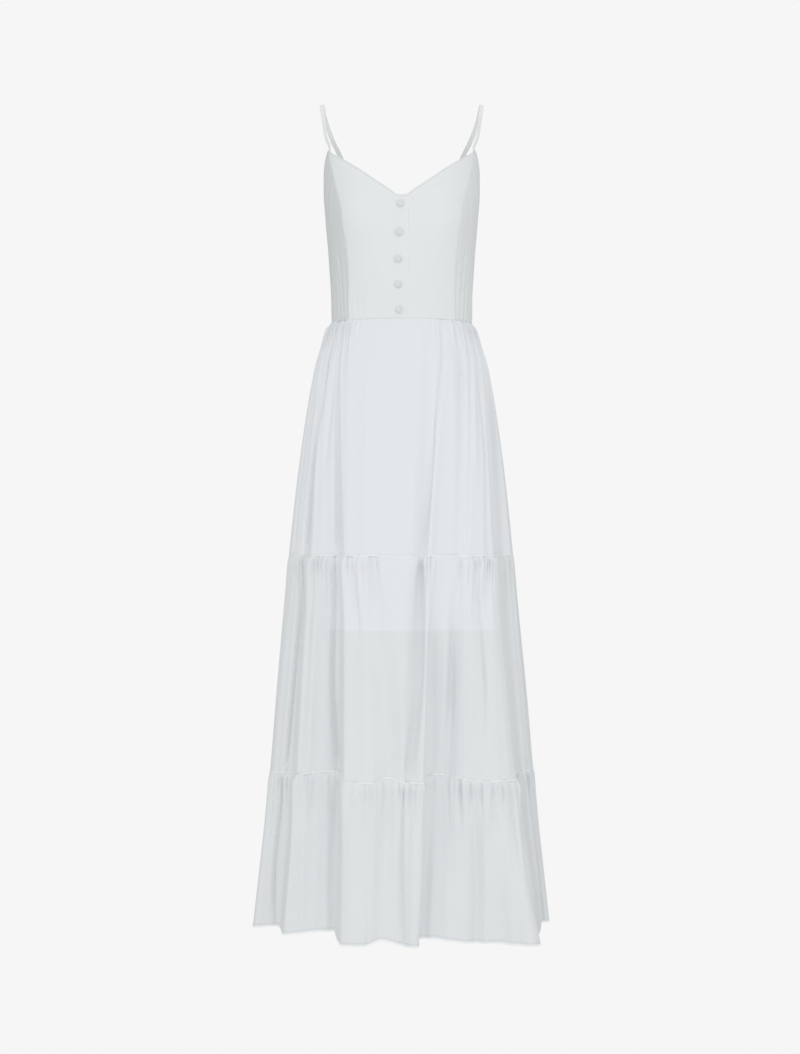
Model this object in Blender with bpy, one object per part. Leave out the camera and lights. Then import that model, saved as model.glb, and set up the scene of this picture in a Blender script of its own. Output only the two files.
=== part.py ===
"""Sleeveless maxi dress on thin straps: a princess-seamed bodice with a V neck and five covered
buttons, over a skirt of three gathered tiers with a short lining.

The dress keeps the hollow form that it has when worn. The front faces -Y, the wearer's left is +X,
and the origin is midway between the tops of the two straps, where the shoulders hold it.
Angles go round the body from the centre front: 90 is the wearer's left side and 180 the centre back.
"""

import functools
import math
import random

import bmesh
import bpy
import numpy as np
from mathutils import Matrix

MM = 0.001

# Cloth
CLOTH = 1.3 * MM
GAP = 0.3 * MM
FRONT, LEFT_SIDE, BACK, RIGHT_SIDE = 0.0, 90.0, 180.0, 270.0

# Heights of the seams and edges, below the tops of the straps
WAIST = -0.381
UPPER_SEAM = -0.785
LOWER_SEAM = -1.161
HEM = -1.430

# Bodice sections: height, half width, front depth, back depth, squareness (1 is an ellipse)
BODICE = (
    (-0.381, 0.1222, 0.088, 0.086, 1.00),
    (-0.334, 0.1235, 0.097, 0.089, 0.97),
    (-0.267, 0.1275, 0.108, 0.097, 0.92),
    (-0.207, 0.1325, 0.113, 0.103, 0.88),
    (-0.150, 0.1362, 0.107, 0.104, 0.87),
    (-0.110, 0.1362, 0.099, 0.101, 0.87),
    (-0.060, 0.1330, 0.092, 0.096, 0.87),
)

# Skirt sections: height, half width, front depth, back depth
SKIRT = (
    (-0.381, 0.1215, 0.088, 0.086),
    (-0.410, 0.1325, 0.096, 0.097),
    (-0.462, 0.1495, 0.107, 0.111),
    (-0.602, 0.1740, 0.132, 0.138),
    (-0.785, 0.1940, 0.154, 0.159),
    (-1.000, 0.2120, 0.169, 0.176),
    (-1.161, 0.2240, 0.179, 0.188),
    (-1.430, 0.2515, 0.192, 0.205),
)

# Lining sections, hung from the waist seam inside the skirt: height, half width, front depth, back depth
LINING_INSET = CLOTH + 0.9 * MM
LINING = (
    (-0.381, 0.1215 - LINING_INSET, 0.088 - LINING_INSET, 0.086 - LINING_INSET),
    (-0.460, 0.1360, 0.098, 0.100),
    (-0.600, 0.1500, 0.110, 0.113),
    (-0.911, 0.1650, 0.128, 0.124),
)

# Cup fullness let into the princess seams
CUP_ANGLE, CUP_HEIGHT = 34.0, -0.212
CUP_LIFT, CUP_ANGLE_SPREAD, CUP_HEIGHT_SPREAD = 9 * MM, 21.0, 0.048

# Top edge of the bodice: angle, height. V neck, peak under the strap, armhole, level back
TOP_EDGE = (
    (0.0, -0.1748),
    (2.0, -0.1745),
    (6.2, -0.1660),
    (17.0, -0.1470),
    (29.0, -0.1275),
    (45.4, -0.1072),
    (58.0, -0.0955),
    (69.0, -0.0872),
    (76.0, -0.0990),
    (90.0, -0.1270),
    (108.0, -0.1385),
    (130.0, -0.1425),
    (180.0, -0.1435),
)

# Princess seam: share of the height from the waist to the top edge, angle
PRINCESS = ((0.0, 48.8), (0.16, 47.6), (0.39, 44.8), (0.60, 45.2), (0.77, 53.4), (1.0, 68.0))

# The right front laps over the left one: the edges lie this far past the centre front, on each side.
# The upper layer starts to rise before the under layer's edge and is full up a little before it
LAP = 12 * MM
LAP_RISE_FROM, LAP_RISE_TO = 5 * MM, 0.8 * MM
LAP_LIFT = CLOTH + GAP

# Panels of the bodice: rows from the waist to the top edge, and columns across a front beside its lap
BODICE_ROWS = 8
FRONT_COLUMNS = 13

# Creases that the waist seam draws up into the side and back bodice
CREASE_DEPTH, CREASE_REACH = 1.4 * MM, 0.085
SIDE_CREASES, BACK_CREASES = 5, 15

# Covered buttons on the lap, from the neck down: height, distance from the centre
BUTTONS = (
    (-0.1905, -0.0025),
    (-0.2390, -0.0046),
    (-0.2832, -0.0062),
    (-0.3254, -0.0058),
    (-0.3673, -0.0048),
)
BUTTON_RADIUS, BUTTON_DOME, BUTTON_BACK = 6.2 * MM, 3.6 * MM, 1.2 * MM
BUTTON_STANDOFF = 0.5 * MM

# Straps: flat bands, sewn inside the peak of the front and inside the back edge
STRAP_WIDTH, STRAP_THICKNESS = 8 * MM, 1.6 * MM
STRAP_SEWN = 10 * MM
STRAP_STANDOFF = 0.65 * MM
STRAP_CLEAR = 3 * MM
STRAP_FRONT_ANGLE, STRAP_BACK_ANGLE = 68.0, 147.0
STRAP_STEPS = 26
# Wearer's left strap between its two ends: x, y, z of the middle of the band
STRAP_ROUTE = (
    (0.1318, -0.0350, -0.0600),
    (0.1358, -0.0215, -0.0320),
    (0.1390, -0.0090, -0.0070),
    (0.1397, 0.0000, 0.0008),
    (0.1385, 0.0085, -0.0050),
    (0.1340, 0.0210, -0.0230),
    (0.1230, 0.0360, -0.0521),
    (0.1088, 0.0540, -0.0788),
    (0.0940, 0.0725, -0.1100),
)

# Folds of the skirt, ridges above zero and troughs below: angle at the waist, at the upper seam, at the
# lower seam and at the hem, reach to the right and to the left of that line in degrees, depth at the upper
# seam, at the lower seam and at the hem in mm, how far the trough draws the lower seam and the hem up in mm,
# and the side that the depth is measured from
FOLDS = (
    (-80, -82, -84, -84, 14, 14, 3, 6, 8, 0, 0, -90),
    (-69, -57, -57.5, -57, 26, 5, -14, -28, -40, 3, 6, FRONT),
    (-52, -34, -29.5, -27.5, 36, 4.5, -18, -46, -40, 11, 12, FRONT),
    (-16, -12, -5.5, -7, 8, 8, -4, -20, -18, 7, 8, FRONT),
    (20, 10, 4, 0, 6, 5, -10, -10, -6, 0, 0, FRONT),
    (34, 17, 13.5, 9.5, 4, 22, -6, -40, -24, 10, 9, FRONT),
    (45, 30, 20, 18, 5, 5, -5, -6, 0, 0, 0, FRONT),
    (58, 40, 33, 29, 7, 7, 0, -5, -8, 0, 0, FRONT),
    (70, 55, 60, 67, 36, 8, 14, 36, 94, 0, 0, FRONT),
    (82, 64, 69, 77, 9, 18, -26, -40, -46, 0, 0, FRONT),
    (104, 101, 99, 97, 10, 12, 4, 10, 10, 0, 0, LEFT_SIDE),
    (113, 113, 114, 113, 10, 10, -7, -14, -22, 0, 0, 115),
    (128, 130, 133, 135, 9, 9, -5, -10, -17, 0, 0, 140),
    (148, 150, 151, 155, 10, 10, -7, -14, -25, 0, 0, 160),
    (168, 170, 171, 170, 7, 7, -5, -8, -12, 0, 0, BACK),
    (190, 188, 189, 190, 10, 10, -7, -13, -23, 0, 0, BACK),
    (210, 208, 209, 211, 8, 8, -5, -10, -15, 0, 0, 205),
    (232, 230, 229, 227, 11, 11, -8, -15, -26, 0, 0, 220),
    (254, 252, 250, 247, 9, 9, -5, -11, -18, 0, 0, 245),
)

# The steep sides of the folds, as angles at the lower seam: a column of the cloth lies on each
FOLD_EDGES = (-57.5, -52.5, -29.5, -25.0, 9.5, 13.5, 60.0, 68.0)

# Half of the turn that a fold's direction is measured over, in degrees
TANGENT_STEP = 0.5

# Gathers along the top of each tier: how many in a panel, how far they stand out, how far they run down.
# The upper tier is smooth at the centre front
GATHERS = 34
WAIST_SMOOTH_TO, WAIST_GATHERED_FROM = 36.0, 44.0
WAIST_GATHER_LIFT, WAIST_GATHER_RUN = 3.0 * MM, 0.085
TIER_GATHER_LIFT, TIER_GATHER_RUN = 4.0 * MM, 0.060
GATHER_AT_SEAM = 0.25
GATHER_FULL_AT = 0.012
TIER_PUFF, TIER_PUFF_REACH = 3.5 * MM, 0.055

# Rows of each tier, as distances below its top seam
UPPER_ROWS = (0.0, 0.012, 0.045, 0.115, 0.240, 0.4037)
MIDDLE_ROWS = (0.0, 0.012, 0.040, 0.100, 0.230, 0.3757)
LOWER_ROWS = (0.0, 0.012, 0.040, 0.100, 0.180, 0.2687)
LINING_ROWS, LINING_COLUMNS = (0.0, 0.040, 0.110, 0.260, 0.5297), 26

# Edges bent further than this, in degrees, are shaded sharp
SHARP_ANGLE = 32.0

# Finishes: base colour, roughness
COTTON = ("white_cotton", (0.80, 0.82, 0.83, 1.0), 0.85)
LINING_CLOTH = ("lining_cloth", (0.83, 0.84, 0.86, 1.0), 0.80)


def from_table(rows, at):
    """The columns of a table at one value of its first column, on curves that never overshoot the rows."""
    table = np.array(rows, float)
    if table[0, 0] > table[-1, 0]:
        table = table[::-1]
    x, y = table[:, 0], table[:, 1:]
    at = min(max(at, x[0]), x[-1])
    k = min(int(np.searchsorted(x, at, side="right")) - 1, len(x) - 2)
    step = np.diff(x)
    slope = np.diff(y, axis=0) / step[:, None]

    def tangent(i):
        if i == 0:
            return slope[0]
        if i == len(x) - 1:
            return slope[-1]
        before, after = slope[i - 1], slope[i]
        same = before * after > 0
        total = np.where(same, before + after, 1.0)
        return np.where(same, 2 * before * after / total, 0.0)

    t = (at - x[k]) / step[k]
    rise = (3 - 2 * t) * t * t
    return (
        y[k] * (1 - rise)
        + y[k + 1] * rise
        + step[k] * (t * (1 - t) ** 2 * tangent(k) - t * t * (1 - t) * tangent(k + 1))
    )


def away(angle, other):
    """The shortest turn between two angles, in degrees."""
    return abs((angle - other + 180.0) % 360.0 - 180.0)


def soft_step(t):
    """0 up to t = 0, 1 from t = 1, and a smooth rise between."""
    t = min(max(t, 0.0), 1.0)
    return t * t * (3 - 2 * t)


def on_section(angle, z, half_width, front, back, squareness=1.0):
    """A point of a body section, and the level direction that points out of it there."""
    s, c = math.sin(math.radians(angle)), math.cos(math.radians(angle))
    depth = front if c >= 0 else back
    x = half_width * math.copysign(abs(s) ** squareness, s)
    y = -depth * math.copysign(abs(c) ** squareness, c)
    power = 2 / squareness - 1
    out = np.array(
        [
            math.copysign(abs(x / half_width) ** power, x) / half_width,
            math.copysign(abs(y / depth) ** power, y) / depth,
            0.0,
        ]
    )
    return np.array([x, y, z]), out / np.linalg.norm(out)


def bodice_at(angle, z, lift=0.0):
    """A point of the bodice's cloth and its outward direction."""
    half_width, front, back, squareness = from_table(BODICE, z)
    point, out = on_section(angle, z, half_width, front, back, squareness)
    cup = math.exp(-(((away(abs(angle), CUP_ANGLE)) / CUP_ANGLE_SPREAD) ** 2))
    cup *= math.exp(-(((z - CUP_HEIGHT) / CUP_HEIGHT_SPREAD) ** 2))
    return point + out * (CUP_LIFT * cup + lift), out


@functools.lru_cache(maxsize=None)
def folds_at(z):
    """The folds at one height: angle, reach to the right and to the left, and the move of the cloth."""
    folds = []
    for waist, upper, lower, hem, right, left, *depths, lower_rise, hem_rise, side in FOLDS:
        line = (
            (WAIST, waist, 0.0, 0.0),
            (UPPER_SEAM, upper, depths[0], 0.0),
            (LOWER_SEAM, lower, depths[1], lower_rise),
            (HEM, hem, depths[2], hem_rise),
        )
        angle, depth, rise = from_table(line, z)
        heading = math.radians(side)
        move = MM * np.array([depth * math.sin(heading), -depth * math.cos(heading), rise])
        folds.append((angle, right, left, move))
    return folds


def folded(angle, z):
    """How far the broad folds move the skirt at one place."""
    total = np.zeros(3)
    for centre, right, left, move in folds_at(z):
        turn = (angle - centre + 180.0) % 360.0 - 180.0
        reach = left if turn > 0 else right
        if abs(turn) < reach:
            total += move * math.cos(math.pi / 2 * turn / reach) ** 2
    return total


@functools.lru_cache(maxsize=None)
def drift_at(z):
    """Where the lines that follow the folds lie at one height, against where they lie at the lower seam."""
    lines = [(fold[2], here[0]) for fold, here in zip(FOLDS, folds_at(z))]
    seams = [(side, side) for side in (-LEFT_SIDE, LEFT_SIDE, RIGHT_SIDE)]
    return sorted([*lines, *seams])


def followed(angle, z):
    """The angle at one height of the line along the folds that starts from an angle at the lower seam."""
    return from_table(drift_at(z), angle)[0]


def hung_at(sections, angle, z, bulge=0.0):
    """A point of cloth that hangs from the waist, folds and all, and the level direction out of it."""
    section = from_table(sections, z)

    def place(a):
        point, out = on_section(a, z, *section)
        return point + out * bulge + folded(a, z)

    ahead, behind = place(angle + TANGENT_STEP), place(angle - TANGENT_STEP)
    along = ahead - behind
    out = np.array([along[1], -along[0], 0.0])
    return place(angle), out / np.linalg.norm(out)


def top_edge(angle):
    """The height of the bodice's top edge."""
    return from_table(TOP_EDGE, away(angle, FRONT))[0]


class Column:
    """A line down the cloth: its angle, how much a gather lifts it and how far down that gather runs."""

    def __init__(self, angle, lift=0.0, run=1.0):
        self.angle, self.lift, self.run = angle, lift, run


def gathered(start, end, count, seed, edges=()):
    """Two columns for each of that many gathers, uneven in width, height and length."""
    uneven = random.Random(seed)
    widths = np.array([uneven.uniform(0.75, 1.25) for _ in range(2 * count)])
    angles = start + (end - start) * np.concatenate([[0], np.cumsum(widths) / widths.sum()])
    columns = [
        Column(angle, uneven.uniform(0.6, 1.0) if k % 2 else 0.0, uneven.uniform(0.6, 1.5))
        for k, angle in enumerate(angles)
    ]
    for edge in edges:
        if start < edge < end:
            min(columns[1:-1], key=lambda column: abs(column.angle - edge)).angle = edge
    return columns


def smooth(start, end, count):
    """Evenly spaced columns with no gathers."""
    return [Column(start + (end - start) * k / count) for k in range(count + 1)]


def seam_gap(columns, sections):
    """The same columns, with the first and last drawn in so that panels stay apart at their seams."""
    half_turn = math.degrees(GAP / 2 / from_table(sections, WAIST)[1])
    columns[0].angle += half_turn
    columns[-1].angle -= half_turn
    return columns


def finish(name, mesh, finish_of):
    """Links the object, gives it its material and shades it smooth."""
    label, colour, roughness = finish_of
    material = bpy.data.materials.get(label) or bpy.data.materials.new(label)
    material.use_nodes = True
    shader = material.node_tree.nodes["Principled BSDF"]
    shader.inputs["Base Color"].default_value = colour
    shader.inputs["Roughness"].default_value = roughness
    shader.inputs["Metallic"].default_value = 0.0
    mesh.materials.append(material)
    mesh.shade_smooth()
    mesh.set_sharp_from_angle(angle=math.radians(SHARP_ANGLE))
    obj = bpy.data.objects.new(name, mesh)
    bpy.context.scene.collection.objects.link(obj)
    return obj


def wall(name, rows, finish_of):
    """A closed wall of cloth on rows of (point, outward direction), all equally long."""
    bm = bmesh.new()
    outer, inner = (
        [[bm.verts.new(p + side * n * CLOTH / 2) for p, n in row] for row in rows]
        for side in (1, -1)
    )
    for sheet in (outer, inner):
        for above, below in zip(sheet[:-1], sheet[1:]):
            for k in range(len(above) - 1):
                bm.faces.new((above[k], above[k + 1], below[k + 1], below[k]))
    rims = [(outer[k], inner[k]) for k in (0, -1)]
    rims += [([row[k] for row in outer], [row[k] for row in inner]) for k in (0, -1)]
    for out_edge, in_edge in rims:
        for k in range(len(out_edge) - 1):
            bm.faces.new((out_edge[k], out_edge[k + 1], in_edge[k + 1], in_edge[k]))
    bmesh.ops.recalc_face_normals(bm, faces=bm.faces)
    mesh = bpy.data.meshes.new(name)
    bm.to_mesh(mesh)
    bm.free()
    return finish(name, mesh, finish_of)


def bodice_panel(name, columns, rise=lambda across: 0.0):
    """A bodice panel from the waist to its top edge. Each column is its angle as a function of the share
    of the height, with its crease. The rise is the cloth's lift at a distance across the front."""
    rows = []
    for r in range(BODICE_ROWS):
        share = r / (BODICE_ROWS - 1)
        row = []
        for angle_at, column in columns:
            angle = angle_at(share)
            z = WAIST + (top_edge(angle_at(1.0)) - WAIST) * share
            reach = CREASE_REACH * column.run
            crease = CREASE_DEPTH * column.lift * math.exp(-(((z - WAIST) / reach) ** 2))
            flat = bodice_at(angle, z)[0]
            row.append(bodice_at(angle, z, crease + rise(flat[0])))
        rows.append(row)
    return wall(name, rows, COTTON)


def between(first, last, columns):
    """Columns from one seam to another, both functions of the share of the height."""
    return [
        (lambda v, c=column: first(v) * (1 - c.angle) + last(v) * c.angle, column) for column in columns
    ]


def seam(angle_at, sideways=0.0):
    """A seam line as a function of the share of the height, moved by half a gap to either side."""
    half_turn = math.degrees(GAP / 2 / from_table(BODICE, WAIST)[1]) * sideways
    return lambda v: angle_at(v) + half_turn


def princess(share):
    """The princess seam's angle on the wearer's left."""
    return from_table(PRINCESS, share)[0]


def at_distance(distance):
    """A line up the front at one distance from the centre, as a function of the share of the height."""

    def angle_at(share):
        half_width, _, _, squareness = from_table(BODICE, WAIST + (top_edge(FRONT) - WAIST) * share)
        sine = (abs(distance) / half_width) ** (1 / squareness)
        return math.copysign(math.degrees(math.asin(sine)), distance)

    return angle_at


def lap_rise(across):
    """How far the right front rises to lie over the left one."""
    return LAP_LIFT * soft_step((across + LAP + LAP_RISE_FROM) / (LAP_RISE_FROM - LAP_RISE_TO))


def make_bodice():
    """Two lapped fronts, two side fronts and the back."""
    centre = [(at_distance(x), Column(0.0)) for x in (-LAP, -LAP / 2, 0.0, LAP / 2, LAP)]
    rising = [(at_distance(-LAP - d), Column(0.0)) for d in (LAP_RISE_FROM, LAP_RISE_TO)]
    across = smooth(0.0, 1.0, FRONT_COLUMNS)
    right_seam, left_seam = (lambda v: -princess(v)), princess
    side_seam_left, side_seam_right = (lambda v: LEFT_SIDE), (lambda v: RIGHT_SIDE)
    bodice_panel(
        "front_right",
        [*between(seam(right_seam, 1), rising[0][0], across), rising[1], *centre],
        lap_rise,
    )
    bodice_panel("front_left", [*centre[:-1], *between(centre[-1][0], seam(left_seam, -1), across)])
    bodice_panel(
        "side_left",
        between(seam(left_seam, 1), seam(side_seam_left, -1), gathered(0.0, 1.0, SIDE_CREASES, seed=3)),
    )
    bodice_panel(
        "side_right",
        between(
            seam(lambda v: -LEFT_SIDE, 1), seam(right_seam, -1), gathered(0.0, 1.0, SIDE_CREASES, seed=5)
        ),
    )
    across_back = gathered(0.0, 1.0, BACK_CREASES, seed=8)
    bodice_panel("back_bodice", between(seam(side_seam_left, 1), seam(side_seam_right, -1), across_back))


def tier_panel(name, top, heights, columns, lift, run, puff):
    """One panel of a skirt tier, hung from its gathered top edge."""
    rows = []
    for down in heights:
        z = top - GAP - down
        bulge = puff * soft_step(down / GATHER_FULL_AT) * math.exp(-((down / TIER_PUFF_REACH) ** 2))
        opening = GATHER_AT_SEAM + (1 - GATHER_AT_SEAM) * soft_step(down / GATHER_FULL_AT)
        row = []
        for column in columns:
            point, out = hung_at(SKIRT, followed(column.angle, z), z, bulge)
            gather = lift * column.lift * opening * math.exp(-((down / (run * column.run)) ** 2))
            row.append((point + out * gather, out))
        rows.append(row)
    return wall(name, rows, COTTON)


def waist_columns(columns):
    """The same columns with the gathers left out across the centre front."""
    width = WAIST_GATHERED_FROM - WAIST_SMOOTH_TO
    for column in columns:
        from_front = away(followed(column.angle, WAIST), FRONT)
        column.lift *= soft_step((from_front - WAIST_SMOOTH_TO) / width)
    return columns


def make_skirt():
    """Three tiers of a front and a back panel each, joined at the sides."""
    for side, start, end in (("front", -LEFT_SIDE, LEFT_SIDE), ("back", LEFT_SIDE, RIGHT_SIDE)):

        def columns():
            return seam_gap(gathered(start, end, GATHERS, seed=int(start), edges=FOLD_EDGES), SKIRT)

        tier_panel(
            f"skirt_upper_{side}",
            WAIST, UPPER_ROWS, waist_columns(columns()), WAIST_GATHER_LIFT, WAIST_GATHER_RUN, puff=0.0,
        )
        for tier, top, heights in (
            ("middle", UPPER_SEAM, MIDDLE_ROWS),
            ("lower", LOWER_SEAM, LOWER_ROWS),
        ):
            tier_panel(
                f"skirt_{tier}_{side}",
                top, heights, columns(), TIER_GATHER_LIFT, TIER_GATHER_RUN, TIER_PUFF,
            )


def make_lining():
    """A short plain slip inside the skirt, sewn into the waist seam, that follows the skirt's folds."""
    for side, start, end in (("front", -LEFT_SIDE, LEFT_SIDE), ("back", LEFT_SIDE, RIGHT_SIDE)):
        columns = seam_gap(smooth(start, end, LINING_COLUMNS), LINING)
        rows = [
            [hung_at(LINING, followed(column.angle, z), z) for column in columns]
            for z in (WAIST - GAP - down for down in LINING_ROWS)
        ]
        wall(f"lining_{side}", rows, LINING_CLOTH)


def smooth_route(points, steps):
    """Evenly spaced points on a curve through the given ones."""
    points = np.array(points)
    along = np.concatenate([[0], np.cumsum(np.linalg.norm(np.diff(points, axis=0), axis=1))])
    table = [(d, *p) for d, p in zip(along, points)]
    return np.array([from_table(table, d) for d in np.linspace(0, along[-1], steps + 1)])


def make_strap(name, side):
    """A flat band from inside the front's peak, over the shoulder, to inside the back edge."""
    behind = CLOTH / 2 + STRAP_STANDOFF + STRAP_THICKNESS / 2
    front_z, back_z = top_edge(STRAP_FRONT_ANGLE), top_edge(STRAP_BACK_ANGLE)
    down = (STRAP_SEWN, STRAP_SEWN / 2, -STRAP_CLEAR)
    front = [bodice_at(STRAP_FRONT_ANGLE, front_z - d, -behind)[0] for d in down]
    back = [bodice_at(STRAP_BACK_ANGLE, back_z - d, -behind)[0] for d in down[::-1]]
    route = smooth_route([*front, *STRAP_ROUTE, *back], STRAP_STEPS)
    front_out = bodice_at(STRAP_FRONT_ANGLE, front_z)[1]
    back_out = bodice_at(STRAP_BACK_ANGLE, back_z)[1]
    top = int(np.argmax(route[:, 2]))
    bm = bmesh.new()
    rings = []
    for k, point in enumerate(route):
        forward = route[min(k + 1, STRAP_STEPS)] - route[max(k - 1, 0)]
        forward /= np.linalg.norm(forward)
        end_out, share = front_out, k / top
        if k > top:
            end_out, share = back_out, (STRAP_STEPS - k) / (STRAP_STEPS - top)
        share = soft_step(share)
        out = end_out * (1 - share) + np.array([0.35, 0.0, 1.0]) * share
        across = np.cross(forward, out)
        across /= np.linalg.norm(across)
        out = np.cross(across, forward)
        corners = [
            point + across * STRAP_WIDTH / 2 * w + out * STRAP_THICKNESS / 2 * t
            for w, t in ((-1, -1), (1, -1), (1, 1), (-1, 1))
        ]
        rings.append([bm.verts.new((side * p[0], p[1], p[2])) for p in corners])
    for first, second in zip(rings[:-1], rings[1:]):
        for k in range(4):
            bm.faces.new((first[k], first[(k + 1) % 4], second[(k + 1) % 4], second[k]))
    bm.faces.new(rings[0])
    bm.faces.new(rings[-1])
    bmesh.ops.recalc_face_normals(bm, faces=bm.faces)
    mesh = bpy.data.meshes.new(name)
    bm.to_mesh(mesh)
    bm.free()
    return finish(name, mesh, COTTON)


def button_mesh():
    """A cloth-covered button, with its flat back at z = 0 and its dome above."""
    bm = bmesh.new()
    bmesh.ops.create_uvsphere(bm, u_segments=12, v_segments=8, radius=BUTTON_RADIUS)
    squash = BUTTON_DOME / BUTTON_RADIUS
    bmesh.ops.scale(bm, vec=(1, 1, squash), verts=bm.verts)
    everything = [*bm.verts, *bm.edges, *bm.faces]
    bmesh.ops.bisect_plane(
        bm, geom=everything, plane_co=(0, 0, -BUTTON_BACK), plane_no=(0, 0, -1), clear_outer=True
    )
    bmesh.ops.contextual_create(bm, geom=[e for e in bm.edges if e.is_boundary])
    bmesh.ops.translate(bm, vec=(0, 0, BUTTON_BACK), verts=bm.verts)
    bmesh.ops.recalc_face_normals(bm, faces=bm.faces)
    mesh = bpy.data.meshes.new("covered_button")
    bm.to_mesh(mesh)
    bm.free()
    return mesh


def make_buttons():
    """Five covered buttons down the lap, each square to the cloth that it is sewn on."""
    for number, (z, across_lap) in enumerate(BUTTONS, start=1):
        angle = at_distance(across_lap)((z - WAIST) / (top_edge(FRONT) - WAIST))
        on_cloth = LAP_LIFT + CLOTH / 2
        face, out = bodice_at(angle, z, on_cloth)
        above = bodice_at(angle, z + BUTTON_RADIUS, on_cloth)[0]
        below = bodice_at(angle, z - BUTTON_RADIUS, on_cloth)[0]
        up = (above - below) / np.linalg.norm(above - below)
        across = np.cross(up, out)
        across /= np.linalg.norm(across)
        normal = np.cross(across, up)
        mesh = button_mesh()
        turn = Matrix((across, up, normal)).transposed().to_4x4()
        mesh.transform(Matrix.Translation(face + normal * BUTTON_STANDOFF) @ turn)
        finish(f"button_{number}", mesh, COTTON)


def main():
    for obj in list(bpy.data.objects):
        bpy.data.objects.remove(obj)
    make_bodice()
    make_strap("strap_left", 1)
    make_strap("strap_right", -1)
    make_buttons()
    make_skirt()
    make_lining()


main()
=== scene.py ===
"""Looks of a white cotton maxi dress: a princess-seamed bodice on thin straps over three gathered tiers.

The dress hangs as it is worn. Each cloth piece is a fine sheet on the form of its own solid, from the
same sections, folds and gathers, with the creases, seam allowances and hems that the solids leave out.
Angles go round the body from the centre front: 90 is the wearer's left side and 180 the centre back.
"""

import functools
import math
import random

import bmesh
import bpy
import numpy as np
from mathutils import Matrix, Vector


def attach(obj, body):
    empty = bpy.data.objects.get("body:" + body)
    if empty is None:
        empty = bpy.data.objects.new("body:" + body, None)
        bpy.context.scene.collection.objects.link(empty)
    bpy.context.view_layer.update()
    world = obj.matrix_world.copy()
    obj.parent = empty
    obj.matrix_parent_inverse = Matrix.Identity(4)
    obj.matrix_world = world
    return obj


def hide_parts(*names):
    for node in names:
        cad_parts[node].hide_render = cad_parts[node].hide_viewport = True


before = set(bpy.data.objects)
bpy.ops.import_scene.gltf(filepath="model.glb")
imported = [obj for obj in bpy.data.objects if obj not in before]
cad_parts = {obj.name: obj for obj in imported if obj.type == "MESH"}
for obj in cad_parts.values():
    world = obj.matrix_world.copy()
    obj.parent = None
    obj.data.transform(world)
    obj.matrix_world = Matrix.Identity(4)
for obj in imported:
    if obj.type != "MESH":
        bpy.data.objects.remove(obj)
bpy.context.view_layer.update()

bl_info = {
    "name": "Tiered Maxi Dress",
    "version": (1, 0, 0),
    "blender": (4, 5, 0),
    "location": "View3D > Sidebar > Dress",
    "description": "Builds the cloth, buttons and studio of a white tiered maxi dress",
    "category": "Object",
}

MM = 0.001
FRONT, LEFT_SIDE, BACK, RIGHT_SIDE = 0.0, 90.0, 180.0, 270.0

# Heights of the seams and edges, below the tops of the straps, and the gap between pieces at a seam
WAIST = -0.381
UPPER_SEAM = -0.785
LOWER_SEAM = -1.161
HEM = -1.430
LINING_HEM = -0.911
GAP = 0.3 * MM
SOLID_CLOTH = 1.3 * MM

# Bodice sections: height, half width, front depth, back depth, squareness (1 is an ellipse)
BODICE = (
    (-0.381, 0.1222, 0.088, 0.086, 1.00),
    (-0.334, 0.1235, 0.097, 0.089, 0.97),
    (-0.267, 0.1275, 0.108, 0.097, 0.92),
    (-0.207, 0.1325, 0.113, 0.103, 0.88),
    (-0.150, 0.1362, 0.107, 0.104, 0.87),
    (-0.110, 0.1362, 0.099, 0.101, 0.87),
    (-0.060, 0.1330, 0.092, 0.096, 0.87),
)

# Skirt sections: height, half width, front depth, back depth
SKIRT = (
    (-0.381, 0.1215, 0.088, 0.086),
    (-0.410, 0.1325, 0.096, 0.097),
    (-0.462, 0.1495, 0.107, 0.111),
    (-0.602, 0.1740, 0.132, 0.138),
    (-0.785, 0.1940, 0.154, 0.159),
    (-1.000, 0.2120, 0.169, 0.176),
    (-1.161, 0.2240, 0.179, 0.188),
    (-1.430, 0.2515, 0.192, 0.205),
)

# Lining sections: height, half width, front depth, back depth
LINING_INSET = SOLID_CLOTH + 0.9 * MM
LINING = (
    (-0.381, 0.1215 - LINING_INSET, 0.088 - LINING_INSET, 0.086 - LINING_INSET),
    (-0.460, 0.1360, 0.098, 0.100),
    (-0.600, 0.1500, 0.110, 0.113),
    (-0.911, 0.1650, 0.128, 0.124),
)

# Cup fullness let into the princess seams
CUP_ANGLE, CUP_HEIGHT = 34.0, -0.212
CUP_LIFT, CUP_ANGLE_SPREAD, CUP_HEIGHT_SPREAD = 9 * MM, 21.0, 0.048

# Top edge of the bodice: angle, height. V neck, peak under the strap, armhole, level back
TOP_EDGE = (
    (0.0, -0.1748),
    (2.0, -0.1745),
    (6.2, -0.1660),
    (17.0, -0.1470),
    (29.0, -0.1275),
    (45.4, -0.1072),
    (58.0, -0.0955),
    (69.0, -0.0872),
    (76.0, -0.0990),
    (90.0, -0.1270),
    (108.0, -0.1385),
    (130.0, -0.1425),
    (180.0, -0.1435),
)

# Princess seam: share of the height from the waist to the top edge, angle
PRINCESS = ((0.0, 48.8), (0.16, 47.6), (0.39, 44.8), (0.60, 45.2), (0.77, 53.4), (1.0, 68.0))

# The right front's lap over the left one
LAP = 12 * MM
LAP_RISE_FROM = 40 * MM
LAP_LIFT = 0.15 * MM

# Covered buttons on the lap, from the neck down: height, distance from the centre
BUTTONS = (
    (-0.1905, -0.0025),
    (-0.2390, -0.0046),
    (-0.2832, -0.0062),
    (-0.3254, -0.0058),
    (-0.3673, -0.0048),
)

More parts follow.
